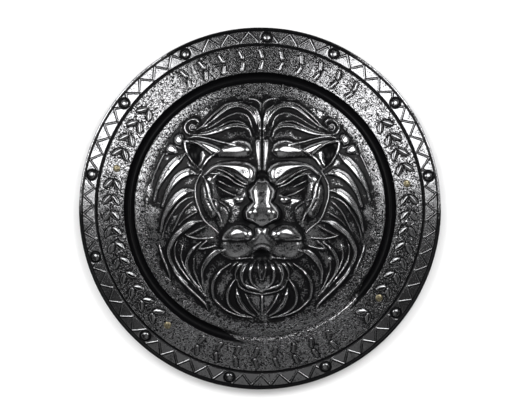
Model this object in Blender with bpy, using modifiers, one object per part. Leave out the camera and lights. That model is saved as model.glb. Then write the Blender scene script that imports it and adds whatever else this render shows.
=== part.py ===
"""Round costume shield with a lion mask, lying face up on its rim.

One thermoformed sheet carries the rim, the bands, the studs, the wreath and the mask. Two webbing
straps are riveted across its hollow back. Metres, +Z up. The origin is the centre of the rim's
underside, and +Y is the top of the mask.
"""
import math

import bpy
import bmesh
import numpy as np
from mathutils import Matrix, Vector

# Sheet and bands, from the outside in
DIAMETER = 0.450
WALL = 0.0020
RIM_HEIGHT = 0.0150
LIP_WIDTH = 0.0060
BEAD_WIDTH = 0.0040
ZIGZAG_WIDTH = 0.0157
LINE_WIDTH = 0.0037
LINE_DEPTH = 0.0012
WREATH_WIDTH = 0.0330
GROOVE_WIDTH = 0.0130
GROOVE_DEPTH = 0.0090
FLANGE_WIDTH = 0.0136
FLANGE_RISE = 0.0012
BAND_SLOPE = math.radians(15.5)

# Studs on the zigzag band, unevenly spaced; angles in degrees
STUD_ANGLES = (10.8, 38.0, 64.5, 87.7, 115.8, 142.2, 168.7, 196.5, 228.0, 259.7, 292.5, 322.5)
STUD_RADIUS = 0.0050
STUD_HEIGHT = 0.0022

# Wreath: two branches of leaf pairs that meet their stem with their upper ends
LEAF_LENGTH = 0.0150
LEAF_WIDTH = 0.0074
LEAF_HEIGHT = 0.0012
LEAF_SPREAD = 0.0056
LEAF_LEAN = math.radians(52.0)
LEAF_STEP = math.radians(6.1)
LEAF_PAIRS_RIGHT = 14
LEAF_PAIRS_LEFT = 15
BRANCH_FOOT = math.radians(-45.5)

# Two rows of short strokes over and under the mask, where the wreath leaves its band free
STROKE_LENGTH = 0.0100
STROKE_WIDTH = 0.0030
STROKE_HEIGHT = 0.0010
STROKE_SPREAD = 0.0066
STROKE_LEAN = math.radians(18.0)
STROKE_STEP = math.radians(7.5)
STROKE_ARCS = ((math.radians(52.0), math.radians(119.5)), (math.radians(246.0), math.radians(298.5)))

# Mask: the carving below was drawn on a disc of this radius, with its middle line off centre
DRAWN_RADIUS = 0.142
MASK_RISE = 0.024
MASK_MIDDLE = 0.0025

# Straps: a flat end under each rivet, then a drop to the level that clears the floor
STRAP_WIDTH = 0.018
STRAP_THICKNESS = 0.0018
STRAP_TAIL = 0.0090
STRAP_FLAT = 0.0050
STRAP_DROP_RUN = 0.0230
STRAP_FLOOR_GAP = 0.0040
STRAP_DROP_STEPS = 6
FOREARM_ANGLES = (math.radians(164.4), math.radians(231.6))
GRIP_ANGLES = (math.radians(9.6), math.radians(-36.9))

# Rivets
FIT_GAP = 0.0003
RIVET_INSET = 0.0171
RIVET_HEAD_RADIUS = 0.0046
RIVET_HEAD_HEIGHT = 0.0018
RIVET_SHANK_RADIUS = 0.0020
RIVET_CLINCH_RADIUS = 0.0042
RIVET_CLINCH_HEIGHT = 0.0012
RIVET_SIDES = 8
SEAT_REACH = 0.0030

# Mesh density: how finely the sheet is turned, and how it is thinned out afterwards
TURN_STEPS = 360
ROW_PITCH = 0.0015
BEAD_STEPS = 8
SHEET_TRIANGLES = 6150
BACK_EMPHASIS = 0.85
STUD_SIDES = 8
LEAF_SIDES = 4
FACET_ALLOWANCE = 0.0012

# Radii that follow from the widths
OUTER = DIAMETER / 2
BEAD_INNER = OUTER - BEAD_WIDTH
ZIGZAG_INNER = BEAD_INNER - ZIGZAG_WIDTH
WREATH_OUTER = ZIGZAG_INNER - LINE_WIDTH
WREATH_INNER = WREATH_OUTER - WREATH_WIDTH
GROOVE_INNER = WREATH_INNER - GROOVE_WIDTH
MASK_RADIUS = GROOVE_INNER - FLANGE_WIDTH
STEM_RADIUS = WREATH_OUTER - WREATH_WIDTH / 2
RIVET_RADIUS = WREATH_OUTER - RIVET_INSET
LIP_EDGE = WALL / 2
BACK_EDGE = BEAD_INNER - WALL / 2
BACK_EDGE_HEIGHT = RIM_HEIGHT - WALL / 2

# Carving of the mask's right half in millimetres: distance from the middle line, height on the
# disc. Locks of hair are flat-topped bands that swell and then taper.
# Columns: points, half width, height, share of the length where it is widest
HAIR = (
    (((1.5, 92), (2.5, 104), (4.5, 114), (7, 121), (12, 126.5)), 3.2, 3.6, 0.75),
    (((1.0, 126), (3, 131), (8, 134.5), (16, 136)), 2.2, 2.2, 0.4),
    (((4, 95), (8, 112), (15, 122), (27, 127.5), (40, 125.5), (50, 118.5), (60, 110),
      (80, 97.5)), 4.4, 4.6, 0.4),
    (((13, 89), (16, 97), (23, 101.5), (35, 102.5), (47, 98.8), (57, 95), (67, 92), (88, 91)), 4.2, 4.2, 0.5),
    (((34, 79), (50, 82), (60, 85), (70, 87.5), (82, 89), (92, 87)), 2.4, 2.6, 0.6),
    (((84, 91), (91, 92.5), (95, 97), (95.5, 102), (93, 107), (88, 110), (82, 110),
      (78.5, 107)), 2.6, 4.2, 0.9),
    (((100, 96), (101.5, 91), (99.5, 86), (96.5, 82.5)), 2.2, 2.8, 0.5),
)
EAR = (
    (((62, 67), (70, 73.5), (79, 79), (88, 82), (95, 83), (94.5, 74), (90, 64), (84, 55),
      (73, 46)), 3.2, 5.0, 0.6),
    (((58, 66), (66, 62), (71, 55), (76, 47)), 3.0, 3.4, 0.6),
)
SIDE_MANE = (
    (((94, 68), (103, 61.5), (112, 53), (120, 42.5), (126, 32), (130.5, 21), (133, 10)), 5.6, 4.2, 0.35),
    (((79, 42), (90, 45), (99, 42), (107, 35.5), (114, 26), (119, 15), (123, 3)), 5.6, 4.6, 0.3),
    (((82, 22), (93, 22), (102, 17), (109, 10), (115, 1.5), (120, -8), (123, -17),
      (125, -28)), 5.2, 4.6, 0.3),
    (((82.5, 15), (92.5, 12.5), (102.5, 5.5), (110.5, -5), (116.5, -15), (123, -36)), 2.4, 3.2, 0.4),
    (((86, 8.5), (94.5, 1), (100.5, -8), (105.5, -18), (110.5, -28)), 2.2, 2.4, 0.5),
    (((74, -15.5), (83, -16.5), (91, -20.5), (99, -27), (107, -34.5), (112, -43), (115, -52), (114, -62),
      (109, -73), (102, -83), (92, -93)), 4.6, 4.6, 0.15),
    (((76, -42), (84, -48.5), (90, -57), (93, -67), (91, -78), (85, -89), (77, -98)), 3.0, 3.4, 0.3),
    (((127, -46), (123, -60), (118, -72), (114, -84), (116, -91)), 2.2, 2.6, 0.7),
    (((110, -75), (102, -86), (90, -99), (77, -111), (69, -120), (66.5, -127)), 2.4, 3.0, 0.9),
)
FACE = (
    (((73, 46), (78, 38), (82, 28), (82, 14), (78.5, 2), (74, -10), (69, -17), (62, -22.5),
      (54, -30)), 2.2, 2.8, 0.4),
    (((73, 40), (68.5, 31), (65.5, 22), (64, 13), (60, 3), (54, -6), (49, -18)), 3.0, 3.6, 0.3),
    (((70, -22), (80, -27), (88, -31), (95, -32)), 2.2, 2.4, 0.75),
)
BEARD = (
    (((46, -51), (57, -54), (65, -61), (71, -70), (74, -80), (73, -92)), 4.0, 3.0, 0.4),
    (((39, -68), (50, -76), (58, -86), (61, -97), (59, -111), (50, -121), (42, -127), (28, -132.5),
      (11, -135)), 3.0, 4.4, 0.25),
    (((33, -87), (39, -96), (42.5, -106), (40.5, -119), (30, -129), (14, -134.5)), 3.0, 4.6, 0.3),
    (((31.5, -99), (30, -108), (26, -118), (19, -126), (9, -133)), 3.0, 4.6, 0.5),
)

# Raised fields with rounded edges. Columns: outline, width of the edge, height
PADS = (
    (((8, 31), (6, 40), (7, 49), (13, 55.5), (24, 57.5), (38, 58.5), (52, 56), (63, 52.5), (71, 45), (73, 40),
      (66, 42), (57, 48.5), (47, 46), (36, 39.5), (26, 32), (17, 28)), 9.0, 6.5),
    (((17, 82), (28, 80), (40, 79), (50, 74), (60, 66), (61, 62.5), (50, 62), (38, 60.5), (26, 62),
      (18, 66)), 9.0, 4.0),
    (((1.6, 85), (8, 84), (8.6, 70), (6.5, 57), (4.5, 46), (2.5, 47), (1.8, 62), (1.6, 75)), 3.0, 3.4),
    (((10, 76), (13.5, 77), (16, 62), (15.5, 48), (13.5, 36), (10, 37), (9, 48), (10, 62)), 3.0, 3.4),
    (((40, -4), (43, 2), (51, 8), (60, 11.5), (68, 12), (66, 3), (62, -5), (57, -14), (53, -23), (46, -22),
      (41, -13)), 8.0, 4.0),
    (((9, -34), (12, -26), (20, -21), (31, -19.5), (41, -23), (47, -30), (49, -38), (42, -42.5), (28, -43),
      (14, -41)), 11.0, 8.5),
    (((0, -43), (12, -44), (28, -45.5), (44, -44), (49, -47), (45, -55), (34, -59), (24, -58), (12, -52),
      (0, -47)), 4.5, 5.0),
    (((-10, -78), (0, -70), (12, -68), (26, -70), (34, -80), (31, -92), (22, -100), (8, -104),
      (-10, -104)), 12.0, 7.0),
    (((97, 84), (98, 91), (103, 91), (107, 87), (106, 81), (101, 79.5)), 3.5, 3.2),
    (((105, 71), (108, 77), (113, 79), (116.5, 75), (115.5, 70), (110, 69)), 3.0, 3.2),
    (((34, 76), (50, 76), (60, 80), (72, 84), (84, 86), (92, 84), (82, 80.5), (72, 76), (62, 69),
      (50, 70)), 5.0, 4.0),
)

# Rounded masses: middle, half width and half height, how far they stand out
MASSES = (
    ((0, 62), (70, 46), 5.0),
    ((0, -8), (50, 60), 6.0),
    ((0, -34), (22, 20), 5.0),
    ((70, -12), (30, 50), 3.0),
    ((0, -116), (34, 26), 3.0),
    ((86, 101.5), (13, 13), 2.5),
)
HOLLOWS = (
    ((44, 27), (28, 17), 6.0),
    ((83, 66), (10, 15), 6.0),
    ((0, -58), (12, 10), 6.0),
    ((0, 40), (9, 8), 5.0),
)

# Nose by height: half width of its flat bridge and of the whole nose, and how far it stands out
NOSE_HEIGHTS = (-26, -18, -12, -4, 3, 8, 14, 22, 30, 38, 46)
NOSE_FLAT = (6, 7, 8, 7.5, 5.5, 4.8, 5.5, 6, 4, 2, 1)
NOSE_WIDE = (10, 20, 24, 25, 22, 15, 19, 21, 13, 7, 4)
NOSE_LIFT = (10, 13, 14, 14, 13, 12, 11.5, 10, 7, 3, 0)

# Locks: how wide their sides are, the share of their length in which they swell, and the shares of
# their width and height that they have at the root and lose at the tip
LOCK_EDGE = 2.4
LOCK_SWELL = 0.2
ROOT_WIDTH = 0.3
ROOT_HEIGHT = 0.45
TIP_WIDTH_LOSS = 0.65
TIP_HEIGHT_LOSS = 0.45

# The nose's wall and tip in millimetres; its side faces fall by a share, and its lower edge is a
# wide V from the tip up
NOSE_WALL = 4.0
NOSE_FALL = 0.38
NOSE_TIP = -25.5
NOSE_EDGE_RISE = 12.0


def smooth(u):
    """Ease from 0 to 1 as u goes from 0 to 1."""
    u = np.clip(u, 0.0, 1.0)
    return u * u * (3 - 2 * u)


def spline(points, steps=5):
    """Points of a Catmull-Rom curve through the given ones."""
    p = np.array(points, dtype=float)
    p = np.vstack([2 * p[0] - p[1], p, 2 * p[-1] - p[-2]])
    t = np.linspace(0, 1, steps, endpoint=False)[:, None]
    spans = []
    for a, b, c, d in zip(p, p[1:], p[2:], p[3:]):
        cubic = (3 * b - a - 3 * c + d) * t ** 3
        square = (2 * a - 5 * b + 4 * c - d) * t ** 2
        spans.append(0.5 * (2 * b + (c - a) * t + square + cubic))
    spans.append(p[-2:-1])
    return np.vstack(spans)


def beside(path, x, y):
    """Distance to a path, and the share of its length that lies behind."""
    lengths = np.hypot(*np.diff(path, axis=0).T)
    nearest = np.full(x.shape, np.inf)
    along = np.zeros_like(x)
    done = 0.0
    for start, end, length in zip(path, path[1:], lengths):
        step = (end - start) / length
        rx, ry = x - start[0], y - start[1]
        t = np.clip(rx * step[0] + ry * step[1], 0.0, length)
        distance = np.hypot(rx - t * step[0], ry - t * step[1])
        closer = distance < nearest
        nearest = np.where(closer, distance, nearest)
        along = np.where(closer, done + t, along)
        done += length
    return nearest, along / done


def close_by(path, x, y, reach):
    """Indices of the points that may lie within reach of a path."""
    low = path.min(axis=0) - reach
    high = path.max(axis=0) + reach
    return np.nonzero((x > low[0]) & (x < high[0]) & (y > low[1]) & (y < high[1]))[0]


def lock(x, y, points, half, height, widest):
    """Height of a flat-topped lock along a curve."""
    path = spline(points)
    near = close_by(path, x, y, half)
    distance, share = beside(path, x[near], y[near])
    grown = smooth(share / min(LOCK_SWELL, widest))
    fallen = smooth((share - widest) / (1 - widest))
    width = half * (ROOT_WIDTH + (1 - ROOT_WIDTH) * grown) * (1 - TIP_WIDTH_LOSS * fallen)
    top = height * (ROOT_HEIGHT + (1 - ROOT_HEIGHT) * grown) * (1 - TIP_HEIGHT_LOSS * fallen)
    lift = np.zeros_like(x)
    lift[near] = top * smooth((width - distance) / np.minimum(LOCK_EDGE, width))
    return lift


def pad(x, y, outline, edge, height):
    """Height of a field whose edge rounds over into a level top."""
    path = spline(outline + outline[:1])
    near = close_by(path, x, y, 0.0)
    px, py = x[near], y[near]
    distance, _ = beside(path, px, py)
    inside = np.zeros(px.shape, dtype=bool)
    for (ax, ay), (bx, by) in zip(path, path[1:]):
        if ay != by:
            inside ^= ((ay > py) != (by > py)) & (px < ax + (py - ay) * (bx - ax) / (by - ay))
    share = np.clip(distance / edge, 0, 1) * inside
    lift = np.zeros_like(x)
    lift[near] = height * (1 - (1 - share) ** 2)
    return lift


def mass(x, y, middle, radii, height):
    """Height of a rounded mass on an ellipse."""
    u = ((x - middle[0]) / radii[0]) ** 2 + ((y - middle[1]) / radii[1]) ** 2
    return height * np.clip(1 - u, 0.0, 1.0) ** 1.3


def nose(x, y):
    """Height of the nose: a level bridge, a falling face on either side, then a steep wall."""
    flat = np.interp(y, NOSE_HEIGHTS, NOSE_FLAT)
    wide = np.interp(y, NOSE_HEIGHTS, NOSE_WIDE)
    lift = np.interp(y, NOSE_HEIGHTS, NOSE_LIFT)
    face = np.clip(lift - NOSE_FALL * np.clip(x - flat, 0, None), 0, None)
    lower = NOSE_TIP + NOSE_EDGE_RISE * (x / wide) ** 1.3
    return face * smooth((wide - x) / NOSE_WALL) * smooth((y - lower) / NOSE_WALL)


def mask_relief(x, y):
    """Height of the carving, in metres, over the mask's dome at points given in metres."""
    scale = MASK_RADIUS / DRAWN_RADIUS * 0.001
    a = np.abs(x / scale - MASK_MIDDLE / 0.001)
    b = y / scale
    ground = sum(mass(a, b, *row) for row in MASSES)
    ground -= sum(mass(a, b, *row) for row in HOLLOWS)
    fields = nose(a, b)
    for row in PADS:
        fields = np.maximum(fields, pad(a, b, *row))
    crests = np.zeros_like(a)
    for group in (HAIR, EAR, SIDE_MANE, FACE, BEARD):
        for row in group:
            crests = np.maximum(crests, lock(a, b, *row))
    edge = smooth((1 - np.hypot(x, y) / (MASK_RADIUS + 0.003)) / 0.05)
    return (ground + fields + crests) * edge * scale


def band_height(radius):
    """Height of the sloping bands' plane."""
    return RIM_HEIGHT + (BEAD_INNER - radius) * math.tan(BAND_SLOPE)


def sheet_height(radius):
    """Height of the turned sheet inside the bead: bands, line, groove, flange and dome."""
    top = band_height(WREATH_INNER)
    if radius >= WREATH_INNER:
        line = (radius - WREATH_OUTER) / LINE_WIDTH
        dip = math.sin(math.pi * line) if 0 < line < 1 else 0.0
        return band_height(radius) - LINE_DEPTH * dip
    if radius >= GROOVE_INNER:
        u = (radius - GROOVE_INNER) / GROOVE_WIDTH
        return top - GROOVE_DEPTH * math.sin(math.pi * u) ** 0.6
    if radius >= MASK_RADIUS:
        u = (radius - MASK_RADIUS) / FLANGE_WIDTH
        return top + FLANGE_RISE * (1 - u ** 3)
    return top + FLANGE_RISE + MASK_RISE * (1 - (radius / MASK_RADIUS) ** 2)


def turned_rows():
    """Radius and height of the turned sheet's rows, from the middle out to the bead."""
    stops = (0.0, MASK_RADIUS, GROOVE_INNER, WREATH_INNER, WREATH_OUTER, ZIGZAG_INNER, BEAD_INNER)
    points = []
    for inner, outer in zip(stops, stops[1:]):
        rows = max(2, int(round((outer - inner) / ROW_PITCH)))
        for row in range(rows):
            radius = inner + (outer - inner) * row / rows
            points.append((radius, sheet_height(radius)))
    points.append((BEAD_INNER, RIM_HEIGHT))
    return points


def front_profile():
    """Radius and height of the front, from the middle out over the bead and down to the lip."""
    points = turned_rows()
    half = BEAD_WIDTH / 2
    for step in range(1, BEAD_STEPS + 1):
        turn = math.pi * (1 - step / BEAD_STEPS)
        points.append((OUTER - half + half * math.cos(turn), RIM_HEIGHT + half * math.sin(turn)))
    points.append((OUTER, RIM_HEIGHT / 2))
    points.append((OUTER, LIP_EDGE))
    points.append((OUTER - LIP_EDGE, 0.0))
    points.append((OUTER - LIP_WIDTH / 2, 0.0))
    points.append((OUTER - LIP_WIDTH, 0.0))
    return points


def back_profile():
    """Radius and height of the back, from the middle out and down inside the rim to the lip."""
    rows = int(round(BACK_EDGE / ROW_PITCH))
    points = [(BACK_EDGE * row / rows, RIM_HEIGHT) for row in range(rows + 1)]
    points.append((OUTER - WALL, BACK_EDGE_HEIGHT))
    points.append((OUTER - WALL, RIM_HEIGHT / 2))
    points.append((OUTER - WALL, WALL))
    points.append((OUTER - LIP_WIDTH / 2, WALL))
    points.append((OUTER - LIP_WIDTH, WALL))
    points.append((OUTER - LIP_WIDTH, 0.0))
    return points


def front_height(x, y):
    """Height of the front with its carved mask, at points in metres."""
    rows = np.array(turned_rows())
    radius = np.hypot(x, y)
    plain = np.interp(radius, rows[:, 0], rows[:, 1])
    return plain + np.where(radius < MASK_RADIUS, mask_relief(x, y), 0.0)


def back_height(x, y):
    """Height of the back: the envelope of balls of the wall's radius that touch the front.

    Under the carving and the groove it lies a little deeper, so that its coarser facets stay clear
    of the front.
    """
    low = front_height(x, y) - WALL
    for share in (0.5, 0.87):
        reach = share * WALL
        drop = WALL * math.sqrt(1 - share ** 2)
        for turn in range(8):
            shift_x = reach * math.cos(turn * math.pi / 4)
            shift_y = reach * math.sin(turn * math.pi / 4)
            low = np.minimum(low, front_height(x + shift_x, y + shift_y) - drop)
    curved = np.hypot(x, y) < WREATH_INNER + WALL
    return low - np.where(curved, FACET_ALLOWANCE, 0.0)


def material(name, colour, roughness, metallic):
    """A Principled material."""
    made = bpy.data.materials.new(name)
    made.use_nodes = True
    shader = made.node_tree.nodes["Principled BSDF"]
    shader.inputs["Base Color"].default_value = (*colour, 1.0)
    shader.inputs["Roughness"].default_value = roughness
    shader.inputs["Metallic"].default_value = metallic
    made.diffuse_color = (*colour, 1.0)
    return made


def collection(name):
    """A new collection in the scene."""
    made = bpy.data.collections.new(name)
    bpy.context.scene.collection.children.link(made)
    return made


def add_object(name, mesh, place, look=None):
    """A named object with its material, smooth except at sharp edges."""
    made = bpy.data.objects.new(name, mesh)
    place.objects.link(made)
    if look:
        mesh.materials.append(look)
    mesh.shade_smooth()
    mesh.set_sharp_from_angle(angle=math.radians(35))
    return made


def add_cutter(name, mesh, place, frame):
    """An object that only cuts others or is fused into them."""
    made = bpy.data.objects.new(name, mesh)
    place.objects.link(made)
    made.matrix_world = frame
    made.hide_render = True
    made.display_type = "WIRE"
    return made


def cut(piece, cutter):
    """Take a cutter's form out of a piece."""
    boolean = piece.modifiers.new(cutter.name, "BOOLEAN")
    boolean.operation = "DIFFERENCE"
    boolean.solver = "EXACT"
    boolean.object = cutter


def evaluated_mesh(source):
    """A copy of an object's mesh with its modifiers applied."""
    bpy.context.view_layer.update()
    graph = bpy.context.evaluated_depsgraph_get()
    return bpy.data.meshes.new_from_object(source.evaluated_get(graph))


def turned(name, profile, steps, place):
    """Mesh turned from radius and height pairs that run top to bottom down its outer side."""
    mesh = bpy.data.meshes.new(name)
    corners = [(radius, 0.0, height) for radius, height in profile]
    mesh.from_pydata(corners, [(i, i + 1) for i in range(len(corners) - 1)], [])
    source = bpy.data.objects.new(name, mesh)
    place.objects.link(source)
    screw = source.modifiers.new("turn", "SCREW")
    screw.axis = "Z"
    screw.steps = steps
    screw.render_steps = steps
    screw.use_merge_vertices = True
    screw.merge_threshold = 0.00001
    made = evaluated_mesh(source)
    bpy.data.objects.remove(source)
    return made


def move_vertices(mesh, limit, height):
    """Set the heights of the vertices inside a radius, above the lip, with a function of x and y."""
    count = len(mesh.vertices)
    places = np.empty(count * 3)
    mesh.vertices.foreach_get("co", places)
    places = places.reshape(count, 3)
    inside = np.hypot(places[:, 0], places[:, 1]) < limit + FIT_GAP / 10
    inside &= places[:, 2] > RIM_HEIGHT / 2
    places[inside, 2] = height(places[inside, 0], places[inside, 1])
    mesh.vertices.foreach_set("co", places.ravel())
    mesh.update()


def back_emphasis(x, y):
    """How much lower the carving stands on the back while the sheet is thinned out.

    It makes the back's facets coarser than the front's.
    """
    lift = np.where(np.hypot(x, y) < MASK_RADIUS, mask_relief(x, y), 0.0)
    return (BACK_EMPHASIS - 1) * lift


def emphasised_back(x, y):
    """The back while the sheet is thinned out."""
    return back_height(x, y) + back_emphasis(x, y)


def settle(mesh):
    """Take the emphasis off the vertices of the back again."""
    count = len(mesh.vertices)
    places = np.empty(count * 3)
    mesh.vertices.foreach_get("co", places)
    places = places.reshape(count, 3)
    x, y, z = places.T
    on_back = np.abs(z - emphasised_back(x, y)) < np.abs(z - front_height(x, y))
    on_back &= np.hypot(x, y) < BACK_EDGE
    places[:, 2] = z - np.where(on_back, back_emphasis(x, y), 0.0)
    places[np.abs(places[:, 2]) < LIP_EDGE / 4, 2] = 0.0
    mesh.vertices.foreach_set("co", places.ravel())
    mesh.update()


def make_sheet(place, look):
    """The shield's one moulding: turned, pressed, closed at the lip and thinned out."""
    front = turned("front", front_profile(), TURN_STEPS, place)
    move_vertices(front, BEAD_INNER, front_height)
    back = turned("back", back_profile()[::-1], TURN_STEPS, place)
    move_vertices(back, BACK_EDGE, emphasised_back)
    sheet = bmesh.new()
    sheet.from_mesh(front)
    sheet.from_mesh(back)
    seam = [vertex for vertex in sheet.verts if vertex.is_boundary]
    bmesh.ops.remove_doubles(sheet, verts=seam, dist=FIT_GAP / 10)
    bmesh.ops.recalc_face_normals(sheet, faces=sheet.faces)
    sheet.to_mesh(front)
    sheet.free()
    draft = bpy.data.objects.new("draft", front)
    place.objects.link(draft)
    thin = draft.modifiers.new("thin", "DECIMATE")
    thin.ratio = SHEET_TRIANGLES / sum(len(face.vertices) - 2 for face in front.polygons)
    mesh = evaluated_mesh(draft)
    bpy.data.objects.remove(draft)
    settle(mesh)
    return add_object("shell", mesh, place, look)


def band_frame(radius, angle):
    """Frame on the sloping bands: X runs down the slope, Y along the band, Z out of its face."""
    centre = Vector((math.cos(angle), math.sin(angle), 0)) * radius
    centre.z = band_height(radius)
    turn = Matrix.Rotation(angle, 4, "Z") @ Matrix.Rotation(BAND_SLOPE, 4, "Y")
    return Matrix.Translation(centre) @ turn


def rivet_frame(angle):
    """Frame at a rivet."""
    return band_frame(RIVET_RADIUS, angle)


def stud_frames():
    """Frames of the ring of domed studs on the zigzag band."""
    radius = (BEAD_INNER + ZIGZAG_INNER) / 2
    return [band_frame(radius, math.radians(angle)) for angle in STUD_ANGLES]


def leaf_frames():
    """Frames of the wreath's leaves: pairs that hang from each branch on either side.

    A leaf that a rivet's head would cut into is left out.
    """
    rivets = [rivet_frame(angle).translation for angle in (*FOREARM_ANGLES, *GRIP_ANGLES)]
    clear = LEAF_LENGTH / 2 + RIVET_HEAD_RADIUS
    frames = []
    for branch, pairs in ((1, LEAF_PAIRS_RIGHT), (-1, LEAF_PAIRS_LEFT)):
        for number in range(pairs):
            climb = BRANCH_FOOT + number * LEAF_STEP
            angle = climb if branch == 1 else math.pi - climb
            frames.append(leaning_frame(angle, LEAF_SPREAD, branch * (math.pi - LEAF_LEAN)))
            frames.append(leaning_frame(angle, -LEAF_SPREAD, branch * LEAF_LEAN))
    return [frame for frame in frames if all((frame.translation - spot).length > clear for spot in rivets)]


def stroke_frames():
    """Frames of the short strokes: an outer and an inner row, leaning opposite ways."""
    frames = []
    for start, end in STROKE_ARCS:
        for number in range(int(round((end - start) / STROKE_STEP)) + 1):
            angle = start + number * STROKE_STEP
            frames.append(leaning_frame(angle, STROKE_SPREAD, STROKE_LEAN))
            frames.append(leaning_frame(angle, -STROKE_SPREAD, -STROKE_LEAN))
    return frames


def leaning_frame(angle, spread, lean):
    """Frame on the wreath's band, off its stem by the spread and turned by the lean."""
    return band_frame(STEM_RADIUS + spread, angle) @ Matrix.Rotation(lean, 4, "Z")


def add_bumps(form, frames, sides, rings, size):
    """Add a rounded or faceted bump at each frame, half of it sunk under the band's face."""
    for frame in frames:
        stretch = Matrix.Diagonal((*size, 1.0))
        bmesh.ops.create_uvsphere(
            form,
            u_segments=sides,
            v_segments=rings,
            radius=1.0,
            matrix=frame @ stretch,
        )


def raise_bumps(sheet, place):
    """Raise the studs, leaves and strokes out of the sheet's front."""
    form = bmesh.new()
    add_bumps(form, stud_frames(), STUD_SIDES, 4, (STUD_RADIUS, STUD_RADIUS, STUD_HEIGHT))
    add_bumps(form, leaf_frames(), LEAF_SIDES, 2, (LEAF_LENGTH / 2, LEAF_WIDTH / 2, LEAF_HEIGHT))
    add_bumps(form, stroke_frames(), LEAF_SIDES, 2, (STROKE_LENGTH / 2, STROKE_WIDTH / 2, STROKE_HEIGHT))
    mesh = bpy.data.meshes.new("bumps")
    form.to_mesh(mesh)
    form.free()
    bumps = add_cutter("bumps", mesh, place, Matrix.Identity(4))
    boolean = sheet.modifiers.new("bumps", "BOOLEAN")
    boolean.operation = "UNION"
    boolean.solver = "EXACT"
    boolean.object = bumps


def make_rivet(name, frame, place, look):
    """A rivet: domed head on the front, shank, and clinched disc behind the strap."""
    seat = FIT_GAP
    tail = -(WALL + STRAP_THICKNESS + 2 * FIT_GAP)
    profile = (
        (0.0, seat + RIVET_HEAD_HEIGHT),
        (0.55 * RIVET_HEAD_RADIUS, seat + 0.85 * RIVET_HEAD_HEIGHT),
        (RIVET_HEAD_RADIUS, seat + 0.25 * RIVET_HEAD_HEIGHT),
        (RIVET_HEAD_RADIUS, seat),
        (RIVET_SHANK_RADIUS, seat),
        (RIVET_SHANK_RADIUS, tail),
        (RIVET_CLINCH_RADIUS, tail),
        (RIVET_CLINCH_RADIUS, tail - RIVET_CLINCH_HEIGHT),
        (0.0, tail - RIVET_CLINCH_HEIGHT),
    )
    rivet = add_object(name, turned(name, profile, RIVET_SIDES, place), place, look)
    rivet.matrix_world = frame
    return rivet


def drum(name, radius, low, high, place, frame):
    """A cylindrical cutter between two heights of a frame."""
    form = bmesh.new()
    bmesh.ops.create_cone(
        form,
        cap_ends=True,
        segments=RIVET_SIDES,
        radius1=radius,
        radius2=radius,
        depth=high - low,
        matrix=Matrix.Translation((0, 0, (low + high) / 2)),
    )
    mesh = bpy.data.meshes.new(name)
    form.to_mesh(mesh)
    form.free()
    return add_cutter(name, mesh, place, frame)


def strap_seat(name, frame, ahead, place):
    """A slab cutter that levels the sheet's back where a strap's end lies."""
    along = Vector(ahead)
    normal = frame.to_3x3() @ Vector((0, 0, 1))
    across = normal.cross(along).normalized()
    along = across.cross(normal)
    turn = Matrix((along, across, normal)).transposed().to_4x4()
    behind = STRAP_TAIL + 2 * FIT_GAP
    before = STRAP_FLAT + SEAT_REACH
    length = behind + before
    middle = Vector(((before - behind) / 2, 0, -(WALL + SEAT_REACH / 2)))
    size = Matrix.Diagonal((length, STRAP_WIDTH + 4 * FIT_GAP, SEAT_REACH, 1.0))
    form = bmesh.new()
    bmesh.ops.create_cube(form, size=1.0, matrix=Matrix.Translation(middle) @ size)
    mesh = bpy.data.meshes.new(name)
    form.to_mesh(mesh)
    form.free()
    return add_cutter(name, mesh, place, Matrix.Translation(frame.translation) @ turn)


def strap_stations(angles):
    """Places along a strap's upper face, each with its face's normal and the strap's direction."""
    ends = [rivet_frame(angle) for angle in angles]
    under = -(WALL + FIT_GAP)
    seats = [frame @ Vector((0, 0, under)) for frame in ends]
    run = seats[1] - seats[0]
    run.z = 0.0
    span = run.length
    ahead = run.normalized()
    low = STRAP_FLOOR_GAP + STRAP_THICKNESS
    drop = [STRAP_FLAT + STRAP_DROP_RUN * step / STRAP_DROP_STEPS for step in range(STRAP_DROP_STEPS + 1)]
    from_seats = [-STRAP_TAIL] + drop
    places = [(0, travel) for travel in from_seats] + [(1, travel) for travel in reversed(from_seats)]
    stations = []
    for nearer, from_seat in places:
        travel = span - from_seat if nearer else from_seat
        normal = (ends[nearer].to_3x3() @ Vector((0, 0, 1))).normalized()
        flat_point = seats[0] + ahead * travel
        slope = -(normal.x * ahead.x + normal.y * ahead.y) / normal.z
        height = seats[nearer].z + slope * (travel - span if nearer else travel)
        blend = float(smooth((from_seat - STRAP_FLAT) / STRAP_DROP_RUN))
        point = Vector((flat_point.x, flat_point.y, height + (low - height) * blend))
        upward = normal.lerp(Vector((0, 0, 1)), blend).normalized()
        stations.append((point, upward, ahead))
    return stations


def make_strap(name, angles, place, look):
    """A webbing strap: a ribbon between two rivets, with its thickness below."""
    corners = []
    faces = []
    for point, upward, ahead in strap_stations(angles):
        across = upward.cross(ahead).normalized() * STRAP_WIDTH / 2
        corners += [point - across, point + across]
    for i in range(0, len(corners) - 2, 2):
        faces.append((i, i + 2, i + 3, i + 1))
    mesh = bpy.data.meshes.new(name)
    mesh.from_pydata([tuple(corner) for corner in corners], [], faces)
    strap = add_object(name, mesh, place, look)
    body = strap.modifiers.new("body", "SOLIDIFY")
    body.thickness = STRAP_THICKNESS
    body.offset = -1.0
    return strap


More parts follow.
